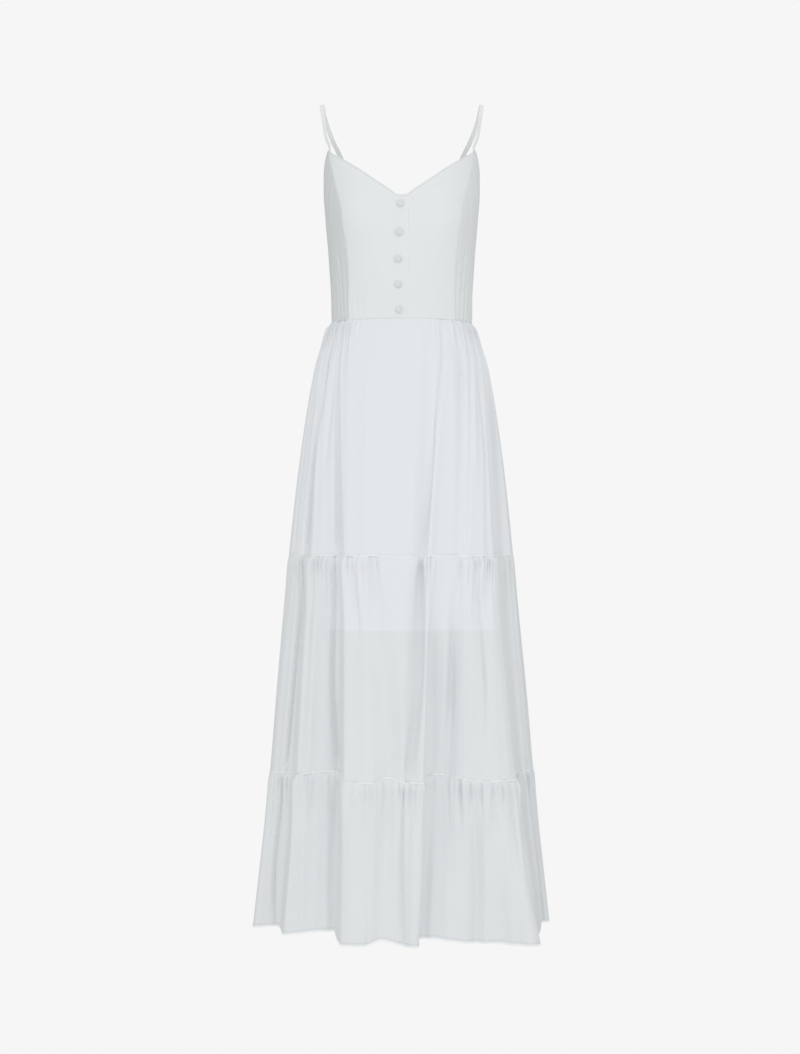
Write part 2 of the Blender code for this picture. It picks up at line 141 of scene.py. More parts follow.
# Wearer's left strap between its two sewn ends: x, y, z of the middle of the band
STRAP_SEWN, STRAP_CLEAR = 10 * MM, 3 * MM
STRAP_FRONT_ANGLE, STRAP_BACK_ANGLE = 68.0, 147.0
STRAP_INSIDE = SOLID_CLOTH / 2 + 0.65 * MM + 0.8 * MM
STRAP_ROUTE = (
    (0.1318, -0.0350, -0.0600),
    (0.1358, -0.0215, -0.0320),
    (0.1390, -0.0090, -0.0070),
    (0.1397, 0.0000, 0.0008),
    (0.1385, 0.0085, -0.0050),
    (0.1340, 0.0210, -0.0230),
    (0.1230, 0.0360, -0.0521),
    (0.1088, 0.0540, -0.0788),
    (0.0940, 0.0725, -0.1100),
)

# Folds of the skirt, ridges above zero and troughs below: angle at the waist, at the upper seam, at the
# lower seam and at the hem, reach to the right and to the left of that line in degrees, depth at the upper
# seam, at the lower seam and at the hem in mm, how far the trough draws the lower seam and the hem up in mm,
# and the side that the depth is measured from
FOLDS = (
    (-80, -82, -84, -84, 14, 14, 3, 6, 8, 0, 0, -90),
    (-69, -57, -57.5, -57, 26, 5, -14, -28, -40, 3, 6, FRONT),
    (-52, -34, -29.5, -27.5, 36, 4.5, -18, -46, -40, 11, 12, FRONT),
    (-16, -12, -5.5, -7, 8, 8, -4, -20, -18, 7, 8, FRONT),
    (20, 10, 4, 0, 6, 5, -10, -10, -6, 0, 0, FRONT),
    (34, 17, 13.5, 9.5, 4, 22, -6, -40, -24, 10, 9, FRONT),
    (45, 30, 20, 18, 5, 5, -5, -6, 0, 0, 0, FRONT),
    (58, 40, 33, 29, 7, 7, 0, -5, -8, 0, 0, FRONT),
    (70, 55, 60, 67, 36, 8, 14, 36, 94, 0, 0, FRONT),
    (82, 64, 69, 77, 9, 18, -26, -40, -46, 0, 0, FRONT),
    (104, 101, 99, 97, 10, 12, 4, 10, 10, 0, 0, LEFT_SIDE),
    (113, 113, 114, 113, 10, 10, -7, -14, -22, 0, 0, 115),
    (128, 130, 133, 135, 9, 9, -5, -10, -17, 0, 0, 140),
    (148, 150, 151, 155, 10, 10, -7, -14, -25, 0, 0, 160),
    (168, 170, 171, 170, 7, 7, -5, -8, -12, 0, 0, BACK),
    (190, 188, 189, 190, 10, 10, -7, -13, -23, 0, 0, BACK),
    (210, 208, 209, 211, 8, 8, -5, -10, -15, 0, 0, 205),
    (232, 230, 229, 227, 11, 11, -8, -15, -26, 0, 0, 220),
    (254, 252, 250, 247, 9, 9, -5, -11, -18, 0, 0, 245),
)
FOLD_EDGES = (-57.5, -52.5, -29.5, -25.0, 9.5, 13.5, 60.0, 68.0)
TANGENT_STEP = 0.5

# Gathers along the top of each tier
GATHERS = 34
WAIST_SMOOTH_TO, WAIST_GATHERED_FROM = 36.0, 44.0
WAIST_GATHER_LIFT, WAIST_GATHER_RUN = 3.0 * MM, 0.085
TIER_GATHER_LIFT, TIER_GATHER_RUN = 4.0 * MM, 0.060
GATHER_AT_SEAM = 0.25
GATHER_FULL_AT = 0.012
GATHER_DEPTH = 1.25
SIDE_CALM, SIDE_CALM_REACH = 0.92, 20.0
TIER_PUFF, TIER_PUFF_REACH = 3.5 * MM, 0.055
# Small pleats between the gathers and long waves below them: sum of waves (number, least and most round the
# body), depth and how far down they run or start
SMALL_WAVES, SMALL_DEPTH, SMALL_RUN = (5, 90, 150), 2.1 * MM, 0.036
WAIST_SMALL, WAIST_SMALL_LEAST = 1.4, 0.2
LONG_WAVES, LONG_DEPTH, LONG_FULL_AT, LONG_SLANT = (4, 20, 46), 0.8 * MM, 0.06, 9.0

# Creases down each tier, troughs below zero and ridges above: angle at the tier's top, middle
# and bottom, where it starts and ends as shares of the tier's length, half width in mm, depth at the tier's
# top and at its bottom in mm
CREASES = {
    "upper": (
        (-62, -59.5, -59.5, 0.00, 1.00, 6, -7, -13),
        (-53.5, -41, -34.5, 0.00, 1.00, 4.5, -5, -11),
        (-53, -48, -48, 0.04, 0.72, 5, -5, -5),
        (34, 18.5, 10, 0.00, 1.00, 3.8, -4, -9),
        (57, 43, 34, 0.00, 1.00, 5, -5, -3),
        (84, 62, 57, 0.00, 1.00, 6, -7, -13),
        (-76, -75, -74, 0.02, 1.00, 6, -5, -9),
        (-82, -56.5, -54, 0.03, 0.95, 8, 2, 3),
        (39, 31, 26, 0.01, 0.98, 9, 3, 2),
        (60.5, 47, 41, 0.01, 0.85, 7, 3, 2),
        (-27, -20, -18, 0.02, 0.95, 16, 1, 2),
        (-6, -5, -5, 0.25, 1.00, 22, -2, -2),
        (8, 5, 3, 0.10, 0.95, 16, 1.5, 1.5),
        (-47, -37, -30, 0.01, 0.30, 5, -3, -2),
        (49, 37, 33, 0.00, 0.45, 5, -4, -3),
        (66, 55, 50, 0.00, 0.60, 6, -4, -4),
    ),
    "middle": (
        (-59.5, -62, -65, 0.00, 1.00, 6.5, -10, -11),
        (-35.5, -34.5, -29.5, 0.00, 1.00, 5, -12, -13),
        (9, 8, 2.5, 0.00, 1.00, 5.5, -10, -11),
        (16, 14, 11, 0.20, 1.00, 4.5, -4, -13),
        (27, 23.5, 20.5, 0.15, 0.95, 4.5, -8, -9),
        (39, 41.5, 40, 0.00, 0.95, 5, -7, -6),
        (-26, -19, -17, 0.00, 0.42, 5.5, -6, -6),
        (56.5, 60, 62.5, 0.00, 1.00, 6.5, -14, -14),
        (-48, -46, -44.5, 0.05, 1.00, 11, 3, 3),
        (-8.5, -8, -8, 0.02, 1.00, 12, 3.5, 3),
        (0, 2, 4, 0.05, 0.70, 8, 2.5, 2.5),
        (21, 20, 17, 0.02, 1.00, 9, 3, 2),
        (33, 35, 34, 0.02, 0.95, 10, 3, 2),
        (48, 51, 53, 0.02, 1.00, 11, 3, 2.5),
        (-14, -13, -12, 0.00, 0.30, 5, -4, -4),
        (46, 46, 46, 0.00, 0.28, 5, -4, -4),
    ),
    "lower": (
        (-65, -67.5, -62, 0.00, 1.00, 7, -10, -9),
        (-29.5, -30.5, -28.5, 0.00, 1.00, 5.5, -10, -11),
        (-35, -34.5, -33.5, 0.05, 1.00, 10, -3, -4),
        (1, -0.5, 0, 0.00, 1.00, 5.5, -11, -9),
        (11, 10.5, 8.5, 0.00, 1.00, 4.5, -14, -15),
        (32, 31.5, 29.5, 0.10, 1.00, 7, -6, -6),
        (62.5, 63, 70, 0.00, 1.00, 6.5, -7, -12),
        (-79.5, -79, -79, 0.00, 1.00, 10, 3, 3),
        (-50.5, -45, -41.5, 0.00, 1.00, 13, 3, 4),
        (-22, -21, -20.5, 0.00, 1.00, 11, 3, 3),
        (-14, -13.5, -13, 0.20, 1.00, 6, -3, -4),
        (-7.5, -7, -6.5, 0.00, 1.00, 8, 4, 3),
        (5, 4.5, 4, 0.05, 1.00, 7, 3, 3),
        (19.5, 18.5, 17, 0.00, 1.00, 10, 3, 3),
        (38, 36, 34, 0.00, 1.00, 10, 3, 4),
        (49.5, 48.5, 47.5, 0.00, 1.00, 12, 2, 3),
        (25, 25, 25, 0.00, 0.35, 5, -4, -4),
        (43, 42, 42, 0.00, 0.40, 5, -4, -4),
        (-41, -42, -42, 0.00, 0.35, 5, -4, -4),
        (54, 56, 58, 0.00, 0.60, 5, -5, -5),
    ),
}

# Creases of each bodice panel: angle and height at one end and at the other, half width and depth
# in mm
BODICE_CREASES = {
    "side_right": (
        (-50, -0.372, -49, -0.270, 2.6, -1.5),
        (-55, -0.378, -57, -0.245, 2.8, -1.6),
        (-61, -0.380, -60, -0.300, 2.6, -1.4),
        (-67, -0.380, -70, -0.280, 3.0, -1.4),
        (-75, -0.380, -76, -0.310, 3.0, -1.2),
        (-52, -0.330, -66, -0.300, 3.6, -0.9),
        (-50, -0.300, -62, -0.262, 3.4, -0.8),
        (-60, -0.120, -74, -0.200, 3.0, -1.3),
        (-64, -0.104, -82, -0.158, 2.8, -1.3),
        (-55, -0.150, -64, -0.235, 3.0, -1.0),
    ),
    "side_left": (
        (50, -0.376, 48, -0.276, 2.6, -1.4),
        (56, -0.380, 57, -0.262, 2.8, -1.6),
        (63, -0.380, 63, -0.296, 2.8, -1.3),
        (71, -0.380, 73, -0.286, 3.0, -1.3),
        (79, -0.380, 79, -0.320, 3.0, -1.1),
        (51, -0.340, 68, -0.316, 3.4, -1.1),
        (50, -0.312, 66, -0.292, 3.2, -1.0),
        (49, -0.284, 64, -0.268, 3.2, -0.9),
        (61, -0.122, 76, -0.205, 3.0, -1.3),
        (65, -0.106, 82, -0.164, 2.8, -1.2),
        (54, -0.158, 62, -0.240, 3.0, -0.9),
    ),
    "front_right": (
        (-41, -0.205, -22, -0.198, 6.0, -0.4),
        (-40, -0.372, -38, -0.310, 4.5, -0.6),
    ),
    "front_left": (
        (41, -0.205, 24, -0.198, 6.0, -0.4),
        (40, -0.372, 37, -0.300, 4.5, -0.7),
        (33, -0.376, 32, -0.325, 5.0, -0.5),
    ),
    "back_bodice": (
        (108, -0.376, 112, -0.260, 4.0, -1.2),
        (126, -0.378, 124, -0.290, 4.0, -1.2),
        (148, -0.378, 150, -0.300, 4.5, -1.1),
        (206, -0.378, 204, -0.296, 4.5, -1.1),
        (232, -0.378, 235, -0.290, 4.0, -1.2),
        (252, -0.376, 247, -0.262, 4.0, -1.2),
        (116, -0.340, 150, -0.322, 4.6, -0.8),
        (244, -0.338, 212, -0.318, 4.6, -0.8),
    ),
}

# The skirt's sheets: columns between two gather lines, and rows down a tier
COLUMNS_PER_LINE = 6
TIER_ROWS = 43
HEM_ROWS = np.array([2.5, 1.6, 0.9, 0.4, 0.0]) * MM
# Share of the even spacing of the rows, and the power by which the rest lies closer to the top
EVEN_ROWS, CLOSER_ROWS = 0.45, 2.2
LINING_COLUMNS, LINING_ROWS = 110, 34
BODICE_COLUMNS, BODICE_ROWS = 84, 96

# Where the lining touches the middle tier and shows through it, across the front
LINING_SEEN_MIDDLE, LINING_SEEN_HALF = 0.0195, 0.1485
LINING_FADE, LINING_HEM_FADE = 12 * MM, 2 * MM
LINING_FLAT = (0.52, 0.55)

# Front and back halves of the skirt: the angles of their side seams
HALVES = (("front", -LEFT_SIDE, LEFT_SIDE), ("back", LEFT_SIDE, RIGHT_SIDE))

# Tiers: top and bottom, lift and run of the gathers, puff below the seam, how far to each side the lining
# shows through, and width of the flat cloth of one half
TIERS = (
    ("upper", WAIST, UPPER_SEAM, WAIST_GATHER_LIFT, WAIST_GATHER_RUN, 0.0, 1.0, 0.62),
    ("middle", UPPER_SEAM, LOWER_SEAM, TIER_GATHER_LIFT, TIER_GATHER_RUN, TIER_PUFF, LINING_SEEN_HALF, 0.80),
    ("lower", LOWER_SEAM, HEM, TIER_GATHER_LIFT, TIER_GATHER_RUN, TIER_PUFF, 0.0, 0.96),
)

# Camera: in front of the dress, level with its middle, with no tilt
CAMERA_DISTANCE, CAMERA_HEIGHT, CAMERA_ASIDE = 3.2, -0.737, -0.0030
IMAGE_TALL, LENS_SENSOR = 1.8445, 36.0

# Seams: a panel's edge rolls in towards the stitching, or is tucked under its neighbour
SEAM_ROLL, SEAM_ROLL_WIDTH = 0.22 * MM, 1.8 * MM
EDGE_ROLL, EDGE_ROLL_WIDTH = 0.45 * MM, 1.6 * MM
TUCK, TUCK_DEPTH = 2.0 * MM, 0.85 * MM
TUCK_ENDS, TUCK_RISE = 0.5 * MM, 1.5 * MM
# Creases are this shallow at a seam, and free this far below and above it
HELD_AT_SEAM, FREE_BELOW, FREE_ABOVE = 0.3, 24 * MM, 30 * MM
# A crease fades at its top and bottom over these shares of its length, and aside by this many half widths
CREASE_STARTS, CREASE_ENDS, CREASE_FADED, SHORTEST_CREASE = 0.35, 0.45, 2.2, 0.01
LIP, LIP_LIFT, LIP_HEIGHT = 1.0 * MM, 0.75 * MM, 3.0 * MM

# Puckers of the bodice: sum of waves (number, least and most round the body) above the waist seam, and a wave
# beside the side seams
BODICE_RADIUS = 0.118
WAIST_PUCKERS, WAIST_PUCKER_RUN = (4, 34, 60), 0.034
SEAM_PUCKER, SEAM_PUCKER_STEP, SEAM_PUCKER_RUN = 0.22 * MM, 0.0115, 0.007
SEAM_WANDER, SEAM_WAVES, SEAM_WAVES_EACH_METRE = 1.3, (3, 3, 9), 900

# Strap tubes: steps along and corners round, powers of the section's width and depth (1 is an ellipse), and
# the way that the band faces at its top
STRAP_STEPS, STRAP_CORNERS = 120, 24
STRAP_WIDE, STRAP_DEEP = 0.5, 0.75
STRAP_TOP_OUT = (0.35, 0.0, 1.0)

# Covered button: steps round and up it, height of its back below the dome's rim, how far it stands off the
# cloth, and the tucks at its rim
BUTTON_ROUND, BUTTON_RINGS = 44, 26
BUTTON_BACK, BUTTON_STANDOFF = 1.2 * MM, 0.5 * MM
BUTTON_TUCKS, BUTTON_TUCK_DEPTH, BUTTON_TURN = 11, 0.16 * MM, 1.7
BUTTON_RIM_BELOW, BUTTON_RIM_REACH = 0.1 * MM, 1.3 * MM

# Look of the cotton, and distances of its stitch rows from their edges
COTTON = {"Roughness": 0.88, "Specular IOR Level": 0.18, "Sheen Weight": 0.12, "Sheen Roughness": 0.45}
DARK_THREAD, RELIEF_DISTANCE = 0.965, 0.3 * MM
RELIEF, STRAP_RELIEF = 0.48, 0.08
# Plain weave: metres between threads, height of the threads, slubs across and along, and its uneven patches
THREAD_SPACING, THREAD_RELIEF, SLUB, SLUB_DETAIL = 0.00045, 0.25, 0.35, 2.0
SLUB_SCALES = ((260.0, 22.0, 1.0), (22.0, 260.0, 1.0))
SLUB_IN_TONE, PATCH_SCALE, PATCH_DETAIL = 0.5, 9.0, 3.0
TOP_STITCH, SEAM_STITCH, LINING_STITCH = 3.5 * MM, 2.5 * MM, 10 * MM
STITCH_LENGTH, THREAD_HALF, DENT_HALF, STITCH_SHOWS_FROM = 2.8 * MM, 0.35 * MM, 1.4 * MM, -0.55
# Height of the stitch thread, depth of its dent, and the painted shade that darkens the dented cloth along a
# stitch row
THREAD_HEIGHT, DENT_DEPTH, STITCH_DENT_PAINTED_SHADE = 1.4, 2.2, (0.90, 0.91, 0.92)
# Height and colour of the pale band above a hem, a painted highlight along the hem's edge
EDGE_LINE, EDGE_LINE_FADE, EDGE_PAINTED_HIGHLIGHT = 3.0 * MM, 0.8 * MM, (0.97, 0.975, 0.97)

# Studio: where the light grows from behind to the front, the floor, and the lights by place, size and share
WORLD_FADE, FLOOR_FADE, SOFT_LIGHT = (0.34, -0.10), (0.5, -0.7), (0.97, 0.99, 1.0)
FLOOR_SIZE, FLOOR_BELOW, LIT_MIDDLE = 40.0, 0.35, (0, 0, -0.7)
LIGHTS = (
    ("key", (1.2, -3.2, 0.1), 2.2, 1.0),
    ("fill", (-1.9, -2.4, -0.6), 2.0, 0.45),
)


def a_colour(name, description, value):
    """A colour that the user can set."""
    return bpy.props.FloatVectorProperty(
        name=name, description=description, subtype="COLOR", size=3, min=0.0, max=1.0, default=value
    )


def a_length(name, description, value, least, most):
    """A length that the user can set, given in mm."""
    return bpy.props.FloatProperty(
        name=name, description=description, subtype="DISTANCE", unit="LENGTH",
        default=value * MM, min=least * MM, max=most * MM,
    )


def a_share(name, description, value, most=1.0):
    """A plain number that the user can set."""
    return bpy.props.FloatProperty(
        name=name, description=description, subtype="FACTOR", unit="NONE", default=value, min=0.0, max=most
    )


class DressCloth(bpy.types.PropertyGroup):
    """Colours and thicknesses of the cloth"""

    colour: a_colour("Cotton", "Colour of the outer cotton", (0.833, 0.855, 0.865))
    bodice: a_colour("Bodice cotton", "Colour of the bodice's doubled cotton", (0.872, 0.894, 0.899))
    over_lining: a_colour(
        "Cotton over lining", "Colour of the cotton where the lining backs it", (0.864, 0.881, 0.900)
    )
    lining: a_colour("Lining", "Colour of the lining", (0.86, 0.87, 0.88))
    # Painted shade: the two side fronts are darkened, the right one more, for the light that falls off round
    # the sides
    right_side_painted_shade: a_share("Right side painted shade", "How light the side front away from the light looks", 0.855)
    left_side_painted_shade: a_share("Left side painted shade", "How light the side front towards the light looks", 0.94)
    thickness: a_length("Thickness", "Thickness of the cloth", 0.5, 0.1, 2)
    hem_band: a_length("Hem band", "Height of the turned-up hem", 6, 2, 40)


class DressTrim(bpy.types.PropertyGroup):
    """Sizes of the buttons, straps and seams"""

    strap_colour: a_colour("Strap colour", "Colour of the straps", (0.915, 0.925, 0.930))
    # The buttons' cover is darker than the cloth: painted shade on their domes
    button_painted_shade_colour: a_colour("Button colour", "Colour of the buttons' cover", (0.775, 0.800, 0.810))
    button_radius: a_length("Button radius", "Radius of a covered button", 6.2, 3, 15)
    button_dome: a_length("Button dome", "Height of the dome above its rim", 3.6, 1, 8)
    strap_width: a_length("Strap width", "Width of a strap", 8, 3, 30)
    strap_thickness: a_length("Strap thickness", "Thickness of a strap", 1.6, 0.5, 4)


class DressStudio(bpy.types.PropertyGroup):
    """Light and background"""

    backdrop: a_colour("Backdrop", "Colour of the floor and what is behind the dress", (0.921, 0.921, 0.921))
    ambient: a_share("Ambient", "Strength of the light from all round", 0.85, most=2.0)
    behind: a_share("Light from behind", "Share of the surrounding light that comes from behind", 0.60)
    key_power: bpy.props.FloatProperty(
        name="Key light", description="Power of the large front light", subtype="POWER", unit="POWER",
        default=10.0, min=0.0, max=1000.0,
    )


class Curve:
    """A table as smooth curves of its first column, which never overshoot the rows."""

    def __init__(self, rows):
        table = np.array(rows, float)
        table = table[np.argsort(table[:, 0])]
        self.x, self.y = table[:, 0], table[:, 1:]
        self.step = np.diff(self.x)
        slope = np.diff(self.y, axis=0) / self.step[:, None]
        before, after = slope[:-1], slope[1:]
        same = before * after > 0
        inner = np.where(same, 2 * before * after / np.where(same, before + after, 1.0), 0.0)
        self.tangent = np.concatenate([slope[:1], inner, slope[-1:]])

    def __call__(self, at):
        at = np.clip(at, self.x[0], self.x[-1])
        k = np.clip(np.searchsorted(self.x, at, side="right") - 1, 0, len(self.x) - 2)
        t = ((at - self.x[k]) / self.step[k])[..., None]
        rise = (3 - 2 * t) * t * t
        bend = t * (1 - t) ** 2 * self.tangent[k] - t * t * (1 - t) * self.tangent[k + 1]
        return self.y[k] * (1 - rise) + self.y[k + 1] * rise + self.step[k][..., None] * bend


BODICE_CURVE, SKIRT_CURVE, LINING_CURVE = Curve(BODICE), Curve(SKIRT), Curve(LINING)
TOP_CURVE, PRINCESS_CURVE = Curve(TOP_EDGE), Curve(PRINCESS)


def away(angle, other):
    """The shortest turn between angles, in degrees."""
    return np.abs((angle - other + 180.0) % 360.0 - 180.0)


def soft_step(t):
    """0 up to t = 0, 1 from t = 1, and a smooth rise between."""
    t = np.clip(t, 0.0, 1.0)
    return t * t * (3 - 2 * t)


def hump(t):
    """1 at t = 0, 0 beyond t = 1, smooth between."""
    return np.where(np.abs(t) < 1, np.cos(np.pi / 2 * np.clip(t, -1, 1)) ** 2, 0.0)


def on_section(angle, half_width, front, back, squareness=1.0):
    """Points of a body section, level with its centre, and the level directions out of it there."""
    s, c = np.sin(np.radians(angle)), np.cos(np.radians(angle))
    depth = np.where(c >= 0, front, back)
    x = half_width * np.sign(s) * np.abs(s) ** squareness
    y = -depth * np.sign(c) * np.abs(c) ** squareness
    power = 2 / squareness - 1
    out = np.stack(
        [
            np.sign(x) * np.abs(x / half_width) ** power / half_width,
            np.sign(y) * np.abs(y / depth) ** power / depth,
            np.zeros_like(x),
        ],
        axis=-1,
    )
    point = np.stack([x, y, np.zeros_like(x)], axis=-1)
    return point, out / np.linalg.norm(out, axis=-1, keepdims=True)


def bodice_at(angle, z, lift=0.0):
    """Points of the bodice's cloth and their outward directions."""
    angle, z = np.broadcast_arrays(np.asarray(angle, float), np.asarray(z, float))
    half_width, front, back, squareness = np.moveaxis(BODICE_CURVE(z), -1, 0)
    point, out = on_section(angle, half_width, front, back, squareness)
    point[..., 2] = z
    cup = np.exp(-((away(np.abs(angle), CUP_ANGLE) / CUP_ANGLE_SPREAD) ** 2))
    cup = cup * np.exp(-(((z - CUP_HEIGHT) / CUP_HEIGHT_SPREAD) ** 2))
    return point + out * (CUP_LIFT * cup + lift)[..., None], out


@functools.lru_cache(maxsize=None)
def folds_at(z):
    """The folds at one height: angle, reach to the right and to the left, and the move of the cloth."""
    folds = []
    for waist, upper, lower, hem, right, left, *depths, lower_rise, hem_rise, side in FOLDS:
        line = Curve(
            (
                (WAIST, waist, 0.0, 0.0),
                (UPPER_SEAM, upper, depths[0], 0.0),
                (LOWER_SEAM, lower, depths[1], lower_rise),
                (HEM, hem, depths[2], hem_rise),
            )
        )
        angle, depth, rise = line(np.array(z))
        heading = math.radians(side)
        move = MM * np.array([depth * math.sin(heading), -depth * math.cos(heading), rise])
        folds.append((angle, right, left, move))
    return folds


def folded(angle, z):
    """How far the broad folds move the skirt at one height."""
    total = np.zeros((len(angle), 3))
    for centre, right, left, move in folds_at(z):
        turn = (angle - centre + 180.0) % 360.0 - 180.0
        total += hump(turn / np.where(turn > 0, left, right))[:, None] * move
    return total


@functools.lru_cache(maxsize=None)
def drift_at(z):
    """Where the lines that follow the folds lie at one height, against where they lie at the lower seam."""
    lines = [(fold[2], here[0]) for fold, here in zip(FOLDS, folds_at(z))]
    seams = [(side, side) for side in (-LEFT_SIDE, LEFT_SIDE, RIGHT_SIDE)]
    return Curve(sorted([*lines, *seams]))


def hung_at(sections, angle, z, bulge=0.0):
    """A row of cloth that hangs from the waist, folds and all, and the level directions out of it."""
    section = sections(np.array(z))

    def place(a):
        point, out = on_section(a, *section)
        return point + out * np.reshape(bulge, (-1, 1)) + folded(a, z)

    along = place(angle + TANGENT_STEP) - place(angle - TANGENT_STEP)
    out = np.stack([along[:, 1], -along[:, 0], np.zeros(len(angle))], axis=-1)
    point = place(angle)
    point[:, 2] += z
    return point, out / np.linalg.norm(out, axis=-1, keepdims=True)


def gather_lines(start, end, seed):
    """The solid's own columns: angle, lift and run of each, from the same draws."""
    uneven = random.Random(seed)
    widths = np.array([uneven.uniform(0.75, 1.25) for _ in range(2 * GATHERS)])
    angles = start + (end - start) * np.concatenate([[0], np.cumsum(widths) / widths.sum()])
    lines = [
        [angle, uneven.uniform(0.6, 1.0) if k % 2 else 0.0, uneven.uniform(0.6, 1.5)]
        for k, angle in enumerate(angles)
    ]
    for edge in FOLD_EDGES:
        if start < edge < end:
            min(lines[1:-1], key=lambda line: abs(line[0] - edge))[0] = edge
    return np.array(lines)


def between_lines(lines, count):
    """Finer columns between the solid's. The cloth is narrow in the valleys of its gathers and round on
    their ridges."""
    share = np.linspace(0, 1, count, endpoint=False)
    columns = []
    for first, last in zip(lines[:-1], lines[1:]):
        rising = last[1] > first[1]
        for t in share:
            e = math.sin(math.pi / 2 * t) if rising else 1 - math.cos(math.pi / 2 * t)
            columns.append([first[0] + (last[0] - first[0]) * t, *(first[1:] + (last[1:] - first[1:]) * e)])
    return np.array([*columns, lines[-1]])


def ripple(angle, seed, count, least, most):
    """A sum of uneven sine waves round the dress, from -1 to 1 or so."""
    uneven = random.Random(seed)
    total = np.zeros_like(angle)
    for _ in range(count):
        waves, phase = uneven.uniform(least, most), uneven.uniform(0, 2 * math.pi)
        total += np.sin(np.radians(angle) * waves + phase)
    return total / math.sqrt(count)


def cloth_object(node, points, spans, material, slot="white_cotton", **cut):
    """A node's sheet of cloth from a grid of points; its cut is not used. The UV map holds metres across and
    metres up from its lower edge, and a second one the metres from its nearest side seam and from its upper
    edge."""
    rows, columns = points.shape[:2]
    index = np.arange(rows * columns).reshape(rows, columns)
    quads = np.stack([index[:-1, :-1], index[1:, :-1], index[1:, 1:], index[:-1, 1:]], axis=-1).reshape(-1, 4)
    mesh = bpy.data.meshes.new(node + "_cloth")
    mesh.from_pydata(points.reshape(-1, 3).tolist(), [], quads.tolist())
    across, up, from_seam, from_top = spans
    corners = np.array([loop.vertex_index for loop in mesh.loops])
    for label, (u, v) in (("cut", (across, up)), ("edges", (from_seam, from_top))):
        values = np.stack([u.reshape(-1)[corners], v.reshape(-1)[corners]], axis=-1)
        mesh.uv_layers.new(name=label).data.foreach_set("uv", values.reshape(-1))
    mesh.shade_smooth()
    obj = bpy.data.objects.new(mesh.name, mesh)
    bpy.context.scene.collection.objects.link(obj)
    mesh.materials.append(material)
    bpy.ops.object.select_all(action="DESELECT")
    bpy.context.view_layer.objects.active = obj
    obj.select_set(True)
    wall = obj.modifiers.new("cloth", "SOLIDIFY")
    wall.thickness = bpy.context.scene.dress_cloth.thickness
    wall.offset = 0.0
    bpy.ops.object.modifier_apply(modifier=wall.name)
    place_piece(obj, node)


def place_piece(obj, node):
    """Puts a piece on the dress in place of its solid."""
    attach(obj, "root")
    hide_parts(node)


def summed(steps, axis):
    """Distances along one axis of a grid of points, from its first row or column."""
    total = np.cumsum(np.linalg.norm(steps, axis=-1), axis=axis)
    return np.concatenate([np.zeros_like(total.take([0], axis)), total], axis=axis)


def cut_spans(points):
    """Metres across from each row's middle, up from the lower edge, from the nearer side and from the top."""
    across, from_top = summed(np.diff(points, axis=1), 1), summed(np.diff(points, axis=0), 0)
    whole = across[:, -1:]
    return across - whole / 2, from_top[-1:] - from_top, np.minimum(across, whole - across), from_top


def bodice_creases(panel, angle, z):
    """How far the creases of one panel move its cloth: each is a soft trough or ridge along a line."""
    total = np.zeros_like(z)
    scale = math.radians(1) * BODICE_RADIUS
    here = np.stack([angle * scale, z], axis=-1)
    for start_angle, start, end_angle, end, half_width, depth in BODICE_CREASES[panel]:
        first, last = np.array([start_angle * scale, start]), np.array([end_angle * scale, end])
        line = last - first
        along = np.sum((here - first) * line, axis=-1) / np.sum(line * line, axis=-1)
        nearest = first + line * np.clip(along, 0, 1)[..., None]
        off = np.linalg.norm(here - nearest, axis=-1) / (half_width * MM)
        fade = soft_step(1.15 - np.abs(along - 0.5) * 1.5)
        total += depth * MM * np.exp(-(off**2)) * fade
    return total


def crease_move(tier, angle, share, metres_per_degree):
    """How far the creases down one tier move a row of its cloth."""
    total = np.zeros_like(angle)
    for top, middle, bottom, start, end, half_width, depth_top, depth_bottom in CREASES[tier]:
        centre = Curve(((0.0, top), (0.5, middle), (1.0, bottom)))(np.array(share))[0]
        depth = depth_top + (depth_bottom - depth_top) * share
        reach = max(end - start, SHORTEST_CREASE)
        ends = 1.0
        if start > 0:
            ends *= soft_step((share - start) / (CREASE_STARTS * reach))
        if end < 1:
            ends *= soft_step((end - share) / (CREASE_ENDS * reach))
        off = (angle - centre) * metres_per_degree / (half_width * MM)
        total += depth * MM * ends / (1 + off**2) * np.exp(-((off / CREASE_FADED) ** 2))
    return total


def bodice_sheet(node, angles, material, seed, ease, **cut):
    """One bodice panel. Angles is a grid of rows from the waist to the top edge."""
    top = TOP_CURVE(away(angles[-1], FRONT))[..., 0]
    z = WAIST - LIP + (top[None, :] - WAIST + LIP) * np.linspace(0, 1, len(angles))[:, None]
    flat = bodice_at(angles, z)[0]
    lift = lap_rise(flat[..., 0]) if node == "front_right" else np.zeros_like(z)
    lift = lift + bodice_creases(node, angles, z)
    # Fine puckers that the waist seam and the princess seams draw into the cloth
    from_side = cut_spans(flat)[2]
    waist_pucker = ripple(angles, seed, *WAIST_PUCKERS) * np.exp(-(((z - WAIST) / WAIST_PUCKER_RUN) ** 2))
    wander = SEAM_WANDER * ripple(z * SEAM_WAVES_EACH_METRE, seed + 1, *SEAM_WAVES)
    seam_pucker = np.sin((z - WAIST) / SEAM_PUCKER_STEP + wander)
    seam_pucker = seam_pucker * np.exp(-((from_side / SEAM_PUCKER_RUN) ** 2))
    lift = lift + ease * MM * waist_pucker + SEAM_PUCKER * seam_pucker
    points, out = bodice_at(angles, z, lift)
    spans = cut_spans(points[::-1])
    from_side, from_top = spans[2][::-1], spans[3][::-1]
    depth, width = (TUCK_DEPTH, TUCK) if node.startswith("side") else (SEAM_ROLL, SEAM_ROLL_WIDTH)
    roll = depth * np.exp(-((from_side / width) ** 4))
    roll = roll + EDGE_ROLL * np.exp(-((from_top / EDGE_ROLL_WIDTH) ** 2))
    points = points - out * roll[..., None]
    cut.update(held="stretched", rests_on=["strap_left", "strap_right"])
    cloth_object(node, points[::-1], spans, material, **cut)


